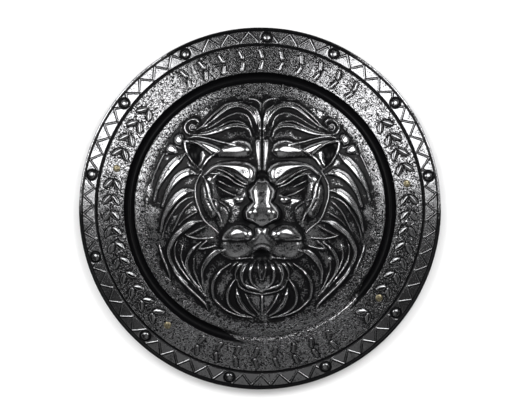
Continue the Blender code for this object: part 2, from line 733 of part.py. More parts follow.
def fasten(name, angle, far_angle, sheet, strap, parts, cutters, look):
    """Rivet a strap's end to the sheet: seats cut level on both faces, and a hole through both."""
    frame = rivet_frame(angle)
    ahead = rivet_frame(far_angle).translation - frame.translation
    shank = RIVET_SHANK_RADIUS + FIT_GAP
    head = RIVET_HEAD_RADIUS + FIT_GAP
    tail = -(WALL + STRAP_THICKNESS + 2 * FIT_GAP)
    hole = drum(f"{name}_hole", shank, 4 * tail, -4 * tail, cutters, frame)
    spot = drum(f"{name}_spot", head, 0.0, RIVET_HEAD_HEIGHT + SEAT_REACH, cutters, frame)
    cut(sheet, spot)
    cut(sheet, strap_seat(f"{name}_seat", frame, ahead, cutters))
    cut(sheet, hole)
    cut(strap, hole)
    make_rivet(name, frame, parts, look)


def main():
    for item in list(bpy.data.objects):
        bpy.data.objects.remove(item)
    parts = collection("roman_shield")
    cutters = collection("cutters")
    silver = material("antiqued_silver", (0.45, 0.45, 0.46), 0.35, 0.9)
    webbing = material("black_webbing", (0.02, 0.02, 0.022), 0.8, 0.0)
    brass = material("dull_brass", (0.35, 0.29, 0.18), 0.4, 0.9)
    sheet = make_sheet(parts, silver)
    raise_bumps(sheet, cutters)
    for strap_name, angles in (("forearm", FOREARM_ANGLES), ("grip", GRIP_ANGLES)):
        strap = make_strap(f"{strap_name}_strap", angles, parts, webbing)
        for place_name, angle, far_angle in zip(("top", "bottom"), angles, angles[::-1]):
            name = f"rivet_{strap_name}_{place_name}"
            fasten(name, angle, far_angle, sheet, strap, parts, cutters, brass)


main()
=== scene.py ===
"""Looks of the round costume shield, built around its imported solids.

The pressed sheet is one closed skin whose heights come from maps drawn in millimetres. Everything
that is placed in the scene is in metres. The shield lies face up on its rim, +Y to the mask's top.
"""
from copy import copy
from math import atan2, cos, dist, pi, radians, sin, sqrt, tan, tau

import bpy
import numpy as np
from mathutils import Matrix, Vector


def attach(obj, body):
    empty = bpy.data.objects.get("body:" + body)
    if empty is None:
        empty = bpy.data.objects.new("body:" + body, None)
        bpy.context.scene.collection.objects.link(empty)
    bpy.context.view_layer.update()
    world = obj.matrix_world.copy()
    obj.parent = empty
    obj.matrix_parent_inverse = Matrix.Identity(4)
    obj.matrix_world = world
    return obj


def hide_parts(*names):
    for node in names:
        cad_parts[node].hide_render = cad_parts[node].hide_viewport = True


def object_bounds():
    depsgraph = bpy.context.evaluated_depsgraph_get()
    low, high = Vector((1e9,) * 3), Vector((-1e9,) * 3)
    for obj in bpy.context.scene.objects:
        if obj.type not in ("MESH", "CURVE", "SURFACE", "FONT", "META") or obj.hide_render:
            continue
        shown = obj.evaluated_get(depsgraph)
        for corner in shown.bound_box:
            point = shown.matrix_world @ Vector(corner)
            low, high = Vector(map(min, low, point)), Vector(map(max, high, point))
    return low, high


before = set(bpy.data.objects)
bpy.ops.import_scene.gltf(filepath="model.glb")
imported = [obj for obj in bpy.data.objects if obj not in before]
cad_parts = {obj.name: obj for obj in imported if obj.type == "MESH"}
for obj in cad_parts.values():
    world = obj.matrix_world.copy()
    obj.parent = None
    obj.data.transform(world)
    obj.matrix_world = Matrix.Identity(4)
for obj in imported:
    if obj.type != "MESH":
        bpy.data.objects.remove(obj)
cad_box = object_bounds()

MM = 0.001
TINY = 0.01

# Sheet and bands in millimetres, from the outside in
DIAMETER = 450.0
WALL = 2.0
RIM_HEIGHT = 15.0
LIP_WIDTH = 6.0
LIP_ROUNDING = 0.3
BEAD_WIDTH = 4.0
ZIGZAG_WIDTH = 15.7
LINE_WIDTH = 3.7
LINE_DEPTH = 1.2
WREATH_WIDTH = 33.0
GROOVE_WIDTH = 13.0
GROOVE_DEPTH = 9.0
GROOVE_FULLNESS = 0.6
FLANGE_WIDTH = 13.6
FLANGE_RISE = 1.2
FLANGE_DROP = 1.1
FLANGE_CURVE = 1.2
BAND_SLOPE = radians(15.5)
OUTER = DIAMETER / 2
BEAD_INNER = OUTER - BEAD_WIDTH
ZIGZAG_INNER = BEAD_INNER - ZIGZAG_WIDTH
WREATH_OUTER = ZIGZAG_INNER - LINE_WIDTH
WREATH_INNER = WREATH_OUTER - WREATH_WIDTH
GROOVE_INNER = WREATH_INNER - GROOVE_WIDTH
MASK_RADIUS = GROOVE_INNER - FLANGE_WIDTH
STEM_RADIUS = WREATH_OUTER - WREATH_WIDTH / 2
GROOVE_TOP = RIM_HEIGHT + (BEAD_INNER - WREATH_INNER) * tan(BAND_SLOPE)

# Zigzag band: fine lines between an inner and an outer row of corners, and a dot at each inner one.
# The corners stand unevenly: their angles swing once a turn and twice a turn.
ZIGZAG_COUNT = 58
ZIGZAG_START = radians(3.4)
ZIGZAG_SWING = (radians(1.6), radians(1.3))
ZIGZAG_LOW = 206.3
ZIGZAG_HIGH = 219.6
ZIGZAG_LINE = 1.3
ZIGZAG_SHADE = 2.2
DOT_RADIUS = 1.7
DOT_BRIGHT = 1.02
DOT_HEIGHT = 0.9

# Studs on the zigzag band, at angles in degrees, each in a halo that is sunk and dark
STUD_ANGLES = (10.8, 38.0, 64.5, 87.7, 115.8, 142.2, 168.7, 196.5, 228.0, 259.7, 292.5, 322.5)
STUD_RADIUS = 5.0
STUD_HEIGHT = 2.2
HALO_RADIUS = 6.5
HALO_WIDTH = 1.6
HALO_DEPTH = 0.8
STUD_CLEAR = 8.6
STUD_EDGE = 0.5
STUD_CIRCLE = (BEAD_INNER + ZIGZAG_INNER) / 2

# Wreath: two branches of leaf pairs along a stem, whose leaves meet the stem with their upper ends.
# The pairs are counted on the right branch, 1, and on the left one, -1.
LEAF_LENGTH = 15.0
LEAF_WIDTH = 7.4
LEAF_HEIGHT = 1.9
LEAF_FULLNESS = 2.5
LEAF_SHOULDER = 0.45
LEAF_SHOULDER_WIDTH = 0.3
LEAF_SPREAD = 5.6
LEAF_LEAN = radians(52)
LEAF_STEP = radians(6.1)
LEAF_PAIRS = ((1, 14), (-1, 15))
BRANCH_FOOT = radians(-45.5)

# The sunk outline around leaves and strokes: how far it spreads, how strong and how deep it is, and
# the height from which a form has an outline
CREASE_REACH = 0.9
CREASE_GAIN = 2.4
CREASE_DEPTH = 0.5
FORM_FOOT = 0.4

# Two rows of short strokes over and under the mask, where the wreath leaves its band free
STROKE_LENGTH = 13.0
STROKE_WIDTH = 5.0
STROKE_HEIGHT = 1.2
STROKE_SPREAD = 7.2
STROKE_LEAN = radians(18)
STROKE_STEP = radians(7.5)
STROKE_ARCS = ((radians(52), radians(119.5)), (radians(246), radians(298.5)))

# Straps and rivets, in millimetres
STRAP_WIDTH = 18.0
STRAP_THICKNESS = 1.8
STRAP_ROUND = 0.7
STRAP_BULGE = 0.15
STRAP_DISH = 0.05
STRAP_STEP = 2.0
STRAP_CREASE = radians(50)
STRAP_TAIL = 9.0
STRAP_FLAT = 5.0
STRAP_DROP_RUN = 23.0
STRAP_FLOOR_GAP = 4.0
FIT_GAP = 0.3
RIVET_RADIUS = WREATH_OUTER - 17.1
RIVET_SIDES = 32
RIVET_CREASE = radians(40)
HEAD_RADIUS = 4.6
HEAD_HEIGHT = 1.8
RIVET_DOME = 0.96
RIVET_FLAT = 0.2
SHANK_RADIUS = 2.0
CLINCH_RADIUS = 4.2
CLINCH_HEIGHT = 1.2
CLINCH_ROLL = 0.6
CLINCH_LAND = 0.5
CLINCH_CUP = ((1.8, CLINCH_HEIGHT), (1.2, 0.5), (RIVET_FLAT, 0.4))
FOREARM_ANGLES = (radians(164.4), radians(231.6))
GRIP_ANGLES = (radians(9.6), radians(-36.9))
RIVET_ANGLES = (*FOREARM_ANGLES, *GRIP_ANGLES)

# Mask: its middle line stands a little right of the shield's, and its carving fades out on the flange
MASK_RISE = 24.0
MASK_MIDDLE = 2.5
MASK_SPILL = 3.0
MASK_FADE = 0.05
MASS_CURVE = 1.3

# Locks of hair: the width of their steep sides, how much their tops fall to the rim, the shares of
# width and height at the start and lost to the end, and the fine lines along the side to the rim
LOCK_EDGE = 1.7
LOCK_TILT = 0.17
LOCK_GROWTH = 0.2
LOCK_WIDTHS = (0.3, 0.65)
LOCK_HEIGHTS = (0.45, 0.45)
LINE_PITCH = 2.2
STRAND_WIDTH = 0.9
STRAND_DEPTH = 0.8

# Silver left where nothing stands out, on the mask, the bands and the bead, and what a spot gains for
# each millimetre that it stands out of its surroundings, over a broad and a narrow reach
MASK_WEAR = 0.33
BAND_WEAR = 0.62
BEAD_WEAR = 0.50
WEAR_SCALES = ((3.2, 0.40), (1.1, 0.6))
RAISED_FULL = 0.6

# What the coat gains or loses by its grain, patches, the painted highlight on the groove's floor, dots and
# dark washes, and between which values it goes from bare plastic to full silver
GRAIN_WEAR = 1.2
ZIGZAG_SMOOTHNESS = 0.8
CLOUD_WEAR = 0.7
GROOVE_FLOOR_HIGHLIGHT = 0.75
DOT_WEAR = 0.4
PIT_WASH = 0.8
TURNED_WASH = 0.4
ZIGZAG_WASH = 0.6
ZIGZAG_STIPPLE = 0.06
COAT_STEPS = (0.26, 0.56)

# Noise in the materials: size of its blotches in metres, detail and distortion
GRAIN = (0.0014, 3.0)
CLOUD = (0.012, 3.0)
PITS = (0.0023, 1.0, 1.2)
PIT_STEPS = (0.41, 0.48)
KNOBS = (0.0019, 0.0, 0.4)
KNOB_STEPS = (0.52, 0.66)
FUZZ = (0.0006, 3.0)
TARNISH = (0.002, 3.0)
SCRATCHES = (0.0007, 2.0)

# The coat's own relief in metres, and the shares of it that lines, grain and knobs have
COAT_RELIEF = 0.00045
RIDGE_BUMP = 1.2
GRAIN_BUMP = 0.025
GRAINY_GAIN = 0.8
GRAINY_LEAST = 0.3

# Colours, and how the coat shines
SILVER_DULL = (0.40, 0.40, 0.41, 1)
SILVER_BRIGHT = (0.60, 0.60, 0.61, 1)
SILVER_GREY = (0.19, 0.19, 0.195, 1)
BAND_TARNISH = 0.65
BLACK_PLASTIC = (0.003, 0.003, 0.0034, 1)
METAL_FULL = 0.45
COAT_ROUGHNESS = (0.30, 0.23)
COAT_SPECULAR = 0.10
WEAVE_PITCH = (0.0016, 0.0022)
WEBBING_TONES = ((0.008, 0.008, 0.009, 1), (0.030, 0.030, 0.032, 1))
BRASS_TONES = ((0.10, 0.085, 0.05, 1), (0.42, 0.37, 0.24, 1))

# Where the bands' stipple stands out most
GRAINY_ANGLE = radians(125)
GRAINY_REACH = radians(80)

# Fine turned lines in the wreath's band beside the end of its right branch
TURNED_PITCH = 2.5
TURNED_WAVE = (0.35, 0.85)
TURNED_RADII = (186.0, 200.0)
TURNED_ANGLE = radians(49)
TURNED_REACH = radians(17)

# Angles at which the bead keeps its silver as a painted highlight facing the two key lights, being painted
# shade elsewhere, the angle toward which the groove's floor is painted lighter as a painted highlight, and
# how far each reaches
BEAD_HIGHLIGHT_ANGLES = (radians(28), radians(150))
BEAD_LIT = radians(42)
GROOVE_FOOT = radians(288)
GROOVE_LIT = radians(39)
GROOVE_EDGE = 0.7

# Fineness of the maps and of the skin
MAP_PITCH = 0.5
RING_PITCH = 0.72
BACK_PITCH = 2.4
MAP_MARGIN = 3.0
RING_SIDES = 6
BEAD_STEPS = 10
SKIN_TRIANGLES = 192000
SEAM_SLACK = 0.05

# Carving of the mask's right half in millimetres: distance from the middle line, height on the
# disc. Locks of hair are flat-topped bands that swell and then taper. They run outward or down, so
# that their left side faces the rim, and fine lines follow that side.
# Columns: points, half width, height, share of the length where it is widest if not half, lines if any
HAIR = (
    (((1.5, 92), (2.5, 104), (5, 114), (8, 121), (14, 127)), 3.6, 4.8, 0.75),
    (((1, 126), (3, 131), (8, 134.5), (16, 136)), 1.8, 2.2, 0.4),
    (((4, 95), (8, 112), (15, 122), (27, 127.5), (40, 125.5), (50, 118.5), (60, 110), (70, 102),
      (80, 97.5)), 3.6, 4.6, 0.4, 1),
    (((24, 132), (42, 129.5), (52, 123), (60, 116.5), (67, 109.5), (73, 102.5), (80, 98)), 2, 3, 0.6),
    (((12, 100), (17, 113), (27, 118), (37, 116.5), (48, 111), (60, 103), (70, 98)), 1.3, 1.4),
    (((13, 89), (16, 97), (23, 101.5), (35, 102.5), (47, 98.8), (57, 95), (67, 92), (77, 91), (88, 91)),
      3.4, 4.2),
    (((17, 101), (25, 106.5), (37, 108), (47, 104), (57, 99), (67, 95), (77, 93)), 1.5, 4),
    (((34, 79), (50, 82), (60, 85), (70, 87.5), (82, 89), (92, 87)), 2, 2.6, 0.6),
    (((22, 82), (29, 83.5), (38, 81)), 1.9, 2.4),
    (((84, 91), (91, 92.5), (95, 97), (95.5, 102), (93, 107), (88, 110), (82, 110), (78.5, 107),
      (80, 103.5)), 2.3, 4.2, 0.9),
    (((82.5, 99), (83.5, 102.5), (87, 103.8), (90, 100.5), (88.5, 96.8), (85, 96.5)), 1.3, 2.6, 0.8),
    (((100, 96), (101.5, 91), (99.5, 86), (96.5, 82.5)), 1.6, 2.8),
    (((97.5, 74.5), (103, 75.5), (109, 79.5)), 1.3, 2.4, 0.6),
)
EAR = (
    (((62, 67), (70, 73.5), (79, 79), (88, 82), (95, 83), (94.5, 74), (90, 64), (84, 55), (77, 49),
      (73, 46)), 2.6, 5, 0.6),
    (((46, 74), (54, 69.5), (62, 65)), 1.6, 2.2, 0.6),
    (((58, 66), (66, 62), (71, 55), (76, 47)), 2.6, 3.4, 0.6),
)
SIDE_MANE = (
    (((94, 68), (103, 61.5), (112, 53), (120, 42.5), (126, 32), (130.5, 21), (133, 10)), 5.6, 4.6, 0.35, 2),
    (((79, 42), (90, 45), (99, 42), (107, 35.5), (114, 26), (119, 15), (123, 3)), 5.6, 5, 0.3, 2),
    (((82, 22), (93, 22), (102, 17), (109, 10), (115, 1.5), (120, -8), (123, -17), (125, -28)),
      5.2, 5, 0.3, 2),
    (((82.5, 15), (92.5, 12.5), (102.5, 5.5), (110.5, -5), (116.5, -15), (120.5, -25), (123, -36)),
      2.1, 3.2, 0.4),
    (((86, 8.5), (94.5, 1), (100.5, -8), (105.5, -18), (110.5, -28)), 1.6, 2.4),
    (((81, -4.5), (90.5, -10), (97.5, -15), (103, -21)), 1.5, 2.2),
    (((74, -15.5), (83, -16.5), (91, -20.5), (99, -27), (107, -34.5), (112, -43), (115, -52), (114, -62),
      (109, -73), (102, -83), (92, -93)), 4.2, 4.6, 0.15, 3),
    (((76, -42), (84, -48.5), (90, -57), (93, -67), (91, -78), (85, -89), (77, -98)), 2.6, 3.4, 0.3, 1),
    (((127, -46), (123, -60), (118, -72), (114, -84), (116, -91)), 1.8, 2.6, 0.7),
    (((110, -75), (102, -86), (90, -99), (77, -111), (69, -120), (66.5, -127)), 2, 3, 0.9),
    (((104, -38), (108, -49), (107, -61), (102, -72), (92, -86), (82, -97)), 1.2, 1.8),
    (((98, -46), (100, -58), (97, -70), (89, -84), (79, -98), (70, -108)), 1.2, 1.8),
    (((84, -62), (84, -76), (78, -92), (72, -104)), 1.2, 1.6),
    (((121, 68), (126, 58), (130, 49), (134, 40), (136.5, 30)), 1.6, 2.4, 0.4),
)
FACE = (
    (((73, 46), (78, 38), (82, 28), (82, 14), (78.5, 2), (74, -10), (69, -17), (62, -22.5), (54, -30)),
      1.7, 2.8, 0.4),
    (((73, 40), (68.5, 31), (65.5, 22), (64, 13), (60, 3), (54, -6), (49, -18)), 2.8, 3.6, 0.3),
    (((62, 5), (55, -3), (51, -11), (49, -18)), 1.2, 1.6),
    (((40, -4), (43, 2), (51, 8), (60, 11.5), (68, 12)), 1.6, 2.2, 0.6),
    (((70, -22), (80, -27), (88, -31), (95, -32)), 1.6, 2.4, 0.75),
    (((95, -33), (82, -36.5), (70, -37), (60, -36)), 1.3, 1.8, 0.3),
    (((68, -40), (73, -44), (79, -49)), 1.5, 2.2, 0.7),
    (((79, -49.5), (69, -49), (57, -46)), 1.3, 1.8, 0.3),
    (((14, 28), (24, 31), (34, 38), (46, 45.5), (57, 49)), 1.3, 2.4),
    (((20, 26), (32, 31), (43, 38.5), (55, 42.5), (64, 43)), 1.2, 1.6),
    (((38, 26), (48, 31), (58, 36)), 1.2, 1.4),
    (((26, 14), (38, 18), (50, 24), (60, 31)), 1.3, 1.6),
)
BEARD = (
    (((46, -51), (57, -54), (65, -61), (71, -70), (74, -80), (73, -92)), 4, 3, 0.4),
    (((39, -68), (50, -76), (58, -86), (61, -97), (59, -111), (50, -121), (42, -127), (28, -132.5),
      (11, -135)), 2.4, 4.4, 0.25, 1),
    (((33, -87), (39, -96), (42.5, -106), (40.5, -119), (30, -129), (14, -134.5)), 2.6, 4.6, 0.3),
    (((31.5, -99), (30, -108), (26, -118), (19, -126), (9, -133)), 3.4, 5.6, 0.55),
    (((20, -106), (14, -118), (3, -132)), 1.3, 2.4, 0.4),
    (((0.3, -107), (0.3, -120), (0.3, -131)), 1.2, 2.4, 0.4),
    (((31, -62), (21, -61.5), (11, -60)), 1.5, 1.8),
    (((2.5, -63), (4.5, -69), (4, -79), (1, -88)), 2, 3.4, 0.3),
    (((8, -64), (13, -71), (15, -81), (12, -92), (4, -99)), 2.9, 3.8, 0.3),
    (((15.5, -65), (22, -71), (25, -81), (23.5, -91), (17, -98)), 3.4, 4, 0.3),
    (((22, -66), (29, -71), (33, -80), (32, -89)), 2.6, 3.6, 0.3),
    (((30, -66), (36, -71), (40, -78)), 1.8, 3.6, 0.4),
    (((31, -88), (28, -96), (20, -101.5), (8, -104.5), (0, -106)), 1.7, 2.8),
    (((27, -85), (22, -93.5), (12, -98), (0, -101)), 1.4, 1.8),
)

# Raised fields with rounded edges. Columns: outline, width of the edge, height, and how far the top
# falls outward in each millimetre if it does
PADS = (
    (((8, 31), (6, 40), (7, 49), (13, 56), (24, 59), (38, 59.5), (52, 57), (63, 53), (71, 45), (73, 40),
      (66, 42), (57, 48.5), (47, 46), (36, 39.5), (26, 32), (17, 28)), 10, 8.5, 0.07),
    (((14, 80), (22, 85), (34, 85), (48, 80), (60, 73), (66, 66), (58, 63), (44, 62.5), (28, 61.5),
      (17, 63.5), (11, 71)), 11, 7, 0.05),
    (((1.6, 85), (8, 84), (8.6, 70), (6.5, 57), (4.5, 46), (2.5, 47), (1.8, 62), (1.6, 75)), 3, 2.8),
    (((40, -4), (43, 2), (51, 8), (60, 11.5), (68, 12), (66, 3), (62, -5), (57, -14), (53, -23),
      (46, -22), (41, -13)), 9, 2.4),
    (((9, -34), (12, -26), (20, -20.5), (31, -19), (41, -22.5), (48, -30), (50, -38), (43, -43),
      (28, -44), (14, -41.5)), 12.5, 8.5),
    (((-8, -20), (8, -22), (12, -32), (28, -33), (44, -34), (52, -44), (51, -57), (38, -64), (22, -62.5),
      (11, -55), (0, -50), (-8, -50)), 10, 4.4),
    (((56, 42), (66, 41), (74, 33), (77, 21), (75, 7), (70, -5), (62, -12), (53, -7), (51, 6), (53, 20),
      (55, 33)), 9, 5.5, 0.08),
    (((-10, -70), (0, -66), (12, -65), (24, -68), (32, -78), (32, -90), (24, -99), (8, -103),
      (-10, -103)), 12, 7.5),
    (((95, 82), (96, 91), (102, 94), (109, 89), (109, 81), (102, 77.5)), 5, 4.6),
    (((103, 69), (106, 77), (113, 80.5), (119, 76), (118, 69), (110, 66.5)), 4.5, 4.4),
    (((34, 76), (50, 76), (60, 80), (72, 84), (84, 86), (92, 84), (82, 79), (72, 73), (62, 66), (50, 67)),
      5.5, 5),
)

# Rounded masses: middle, half width and half height, how far they stand out
MASSES = (
    ((0, 62), (70, 46), 5),
    ((0, -8), (50, 60), 6),
    ((0, -34), (22, 20), 5),
    ((70, -12), (30, 50), 3),
    ((0, -116), (34, 26), 3),
    ((86, 101.5), (13, 13), 2.5),
    ((86, 100.3), (2.6, 2.6), 2.6),
    ((118, 67.5), (2, 2), 2),
    ((29, 11), (7, 5), 2.5),
    ((16, -7), (10, 12), 3),
)
HOLLOWS = (
    ((44, 27), (28, 17), 6),
    ((83, 66), (10, 15), 6),
    ((0, -58), (12, 10), 6),
    ((0, 105), (2, 26), 2.5),
    ((0, 62), (1.8, 30), 2.5),
    ((0, 40), (9, 8), 5),
)

# Nose by height. Rows: half width of its flat bridge and of the whole nose, how far it stands out,
# and how strongly its side faces curve down. Its lower edge is a wide V
NOSE_HEIGHTS = (-26, -18, -12, -4, 3, 8, 14, 22, 30, 38, 46)
NOSE_ROWS = (
    (6, 7, 8, 7.5, 5.5, 4.8, 5.5, 6, 4, 2, 1),
    (10, 20, 24, 25, 22, 15, 19, 21, 13, 7, 4),
    (4, 9, 12.5, 13.5, 13, 12, 11.5, 10, 7, 3, 0),
    (0.02, 0.02, 0.02, 0.024, 0.045, 0.08, 0.07, 0.06, 0.05, 0.04, 0.04),
)
NOSE_WALL = 5.5
NOSE_TIP = -25.5
NOSE_EDGE_RISE = 12.0
NOSE_EDGE_CURVE = 1.3

# Camera and lights, in metres
CAMERA_HEIGHT = 4.0
CAMERA_LENS = 222.0
CAMERA_OFFSET = 0.0006
LIGHT_DISTANCE = 2.0
FLOOR_WIDTH = 12.0
SURROUND = 0.016

# Square lights that face the shield's middle: azimuth, tilt from straight above, size, radiance
LIGHTS = {
    "key_0": (radians(36), radians(39), 1.15, 5.2),
    "key_1": (radians(147), radians(39), 1.15, 5.2),
    "low_fill": (radians(270), radians(39), 1.8, 0.26),
    "floor_light": (0.0, 0.0, 4.0, 1.15),
}


def smooth(u):
    """Ease from 0 to 1 as u goes from 0 to 1."""
    u = np.clip(u, 0.0, 1.0)
    return u * u * (3 - 2 * u)


def spline(points, steps=5):
    """Points of a Catmull-Rom curve through the given ones."""
    p = np.array(points, dtype=float)
    p = np.vstack([2 * p[0] - p[1], p, 2 * p[-1] - p[-2]])
    t = np.linspace(0, 1, steps, endpoint=False)[:, None]
    spans = []
    for a, b, c, d in zip(p, p[1:], p[2:], p[3:]):
        cubic = (3 * b - a - 3 * c + d) * t ** 3
        square = (2 * a - 5 * b + 4 * c - d) * t ** 2
        spans.append(0.5 * (2 * b + (c - a) * t + square + cubic))
    spans.append(p[-2:-1])
    return np.vstack(spans)


class Map:
    """A rectangle of the shield's face with a value at each point of a square grid."""

    def __init__(self, low, high):
        self.low = low
        across = np.arange(low[0], high[0] + MAP_PITCH, MAP_PITCH)
        up = np.arange(low[1], high[1] + MAP_PITCH, MAP_PITCH)
        self.x, self.y = np.meshgrid(across, up)
        self.values = np.zeros_like(self.x)

    def window(self, low, high):
        """The part of the grid that covers a rectangle."""
        first = [max(0, int((value - edge) / MAP_PITCH)) for value, edge in zip(low, self.low)]
        last = [max(0, int((value - edge) / MAP_PITCH) + 2) for value, edge in zip(high, self.low)]
        return slice(first[1], last[1]), slice(first[0], last[0])

    def read(self, x, y):
        """Values at any points, between those of the grid."""
        rows, columns = self.values.shape
        u = np.clip((x - self.low[0]) / MAP_PITCH, 0, columns - 1.001)
        v = np.clip((y - self.low[1]) / MAP_PITCH, 0, rows - 1.001)
        i, j = u.astype(int), v.astype(int)
        u, v = u - i, v - j
        below = self.values[j, i] * (1 - u) + self.values[j, i + 1] * u
        above = self.values[j + 1, i] * (1 - u) + self.values[j + 1, i + 1] * u
        return below * (1 - v) + above * v

    def like(self, values):
        """A map of the same rectangle with other values."""
        made = copy(self)
        made.values = values
        return made

    def blurred(self, reach):
        """The map smoothed over a reach in millimetres."""
        rows, columns = self.values.shape
        waves_y = np.fft.fftfreq(rows, MAP_PITCH)[:, None]
        waves_x = np.fft.rfftfreq(columns, MAP_PITCH)[None, :]
        keep = np.exp(-2 * (np.pi * reach) ** 2 * (waves_x ** 2 + waves_y ** 2))
        return self.like(np.fft.irfft2(np.fft.rfft2(self.values) * keep, s=(rows, columns)))


def beside(path, x, y):
    """Distance to a path, on which side of it, and the share of its length that lies behind."""
    lengths = np.hypot(*np.diff(path, axis=0).T)
    nearest = np.full(x.shape, np.inf)
    side = np.zeros_like(x)
    along = np.zeros_like(x)
    done = 0.0
    for start, end, length in zip(path, path[1:], lengths):
        step = (end - start) / length
        rx, ry = x - start[0], y - start[1]
        t = np.clip(rx * step[0] + ry * step[1], 0.0, length)
        distance = np.hypot(rx - t * step[0], ry - t * step[1])
        closer = distance < nearest
        nearest = np.where(closer, distance, nearest)
        side = np.where(closer, step[0] * ry - step[1] * rx, side)
        along = np.where(closer, done + t, along)
        done += length
    return nearest, side, along / done


def raise_lock(target, points, half, height, widest=0.5, lines=0):
    """Raise a flat-topped lock along a curve, with fine lines along its left side."""
    path = spline(points)
    window = target.window(path.min(axis=0) - half, path.max(axis=0) + half)
    distance, side, share = beside(path, target.x[window], target.y[window])
    grown = smooth(share / min(LOCK_GROWTH, widest))
    fallen = smooth((share - widest) / (1 - widest))
    width, top = [full * (start + (1 - start) * grown) * (1 - loss * fallen)
                  for full, (start, loss) in ((half, LOCK_WIDTHS), (height, LOCK_HEIGHTS))]
    edge = np.minimum(LOCK_EDGE, width)
    outward = np.where(side > 0, distance, -distance)
    lift = (top - LOCK_TILT * outward) * smooth((width - distance) / edge)
    from_edge = width - outward
    for line in range(lines):
        away = np.abs(from_edge - LINE_PITCH * (line + 1))
        lift -= STRAND_DEPTH * smooth(1 - away / STRAND_WIDTH) * (lift > STRAND_DEPTH)
    target.values[window] = np.maximum(target.values[window], lift)


def raise_pad(target, outline, edge, height, fall=0.0):
    """Raise a field whose edge rounds over into a top that is level or falls outward."""
    path = spline(outline + outline[:1])
    window = target.window(path.min(axis=0), path.max(axis=0))
    x, y = target.x[window], target.y[window]
    distance, _, _ = beside(path, x, y)
    inside = np.zeros(x.shape, dtype=bool)
    for (ax, ay), (bx, by) in zip(path, path[1:]):
        if ay != by:
            inside ^= ((ay > y) != (by > y)) & (x < ax + (y - ay) * (bx - ax) / (by - ay))
    share = np.clip(distance / edge, 0, 1) * inside
    top = height - fall * (x - path[:, 0].min())
    target.values[window] = np.maximum(target.values[window], top * (1 - (1 - share) ** 2))


def mass(x, y, middle, radii, height):
    """Height of a rounded mass on an ellipse."""
    u = ((x - middle[0]) / radii[0]) ** 2 + ((y - middle[1]) / radii[1]) ** 2
    return height * np.clip(1 - u, 0.0, 1.0) ** MASS_CURVE


def nose(x, y):
    """Height of the nose: a level bridge, a side face that curves down, then a steep wall."""
    flat, wide, lift, curve = [np.interp(y, NOSE_HEIGHTS, row) for row in NOSE_ROWS]
    fall = curve * np.clip(x - flat, 0, None) ** 2
    lower = NOSE_TIP + NOSE_EDGE_RISE * (x / wide) ** NOSE_EDGE_CURVE
    return np.clip(lift - fall, 0, None) * smooth((wide - x) / NOSE_WALL) * smooth((y - lower) / NOSE_WALL)


def mask_map():
    """Carving of the mask's right half over its dome."""
    reach = MASK_RADIUS + 2 * MASK_SPILL
    half = Map((0.0, -reach), (reach, reach))
    ground = sum(mass(half.x, half.y, *row) for row in MASSES)
    ground -= sum(mass(half.x, half.y, *row) for row in HOLLOWS)
    pads = half.like(nose(half.x, half.y))
    for row in PADS:
        raise_pad(pads, *row)
    crests = half.like(np.zeros_like(half.x))
    for group in (HAIR, EAR, SIDE_MANE, FACE, BEARD):
        for row in group:
            raise_lock(crests, *row)
    return half.like(ground + pads.values + crests.values)


def plain_height(radius):
    """Height of the turned sheet inside the bead: bands, line, groove, flange and dome."""
    line = np.clip((radius - WREATH_OUTER) / LINE_WIDTH, 0, 1)
    bands = RIM_HEIGHT + (BEAD_INNER - radius) * tan(BAND_SLOPE) - LINE_DEPTH * np.sin(np.pi * line)
    across = np.clip((radius - GROOVE_INNER) / GROOVE_WIDTH, 0, 1)
    sunk = GROOVE_DEPTH * np.sin(np.pi * across) ** GROOVE_FULLNESS
    groove = GROOVE_TOP - FLANGE_DROP * (1 - across) - sunk
    share = np.clip((radius - MASK_RADIUS) / FLANGE_WIDTH, 0, 1)
    flange = GROOVE_TOP + FLANGE_RISE - (FLANGE_RISE + FLANGE_DROP) * share ** FLANGE_CURVE
    dome = GROOVE_TOP + FLANGE_RISE + MASK_RISE * (1 - (radius / MASK_RADIUS) ** 2)
    zones = (radius >= WREATH_INNER, radius >= GROOVE_INNER, radius >= MASK_RADIUS)
    return np.select(zones, (bands, groove, flange), dome)


def stamp(target, spot, turn, reach, form):
    """Raise a form where it is higher than what is there; it is drawn in its own frame."""
    middle = np.array(spot)
    window = target.window(middle - reach, middle + reach)
    dx = target.x[window] - middle[0]
    dy = target.y[window] - middle[1]
    along = dx * cos(turn) + dy * sin(turn)
    across = dy * cos(turn) - dx * sin(turn)
    target.values[window] = np.maximum(target.values[window], form(along, across))


def on_ring(radius, angle):
    """A place on the shield's face."""
    return radius * cos(angle), radius * sin(angle)


def leaf_form(along, across):
    """A pointed oval leaf, creased along its middle."""
    share = np.clip(np.abs(along) / (LEAF_LENGTH / 2), 0, 1)
    half = LEAF_WIDTH / 2 * (1 - share ** LEAF_FULLNESS) + TINY
    inward = np.clip(1 - np.abs(across) / half, 0, 1)
    shoulder = smooth(inward / LEAF_SHOULDER_WIDTH)
    return LEAF_HEIGHT * (LEAF_SHOULDER * shoulder + (1 - LEAF_SHOULDER) * inward)


def stroke_form(along, across):
    """A short rounded stroke."""
    beyond = np.clip(np.abs(along) - (STROKE_LENGTH - STROKE_WIDTH) / 2, 0, None)
    return STROKE_HEIGHT * np.clip(1 - (np.hypot(beyond, across) / (STROKE_WIDTH / 2)) ** 2, 0, 1)


def dot_form(along, across):
    """A small dot at a corner of the zigzag."""
    return DOT_HEIGHT * smooth(1 - np.hypot(along, across) / DOT_RADIUS)


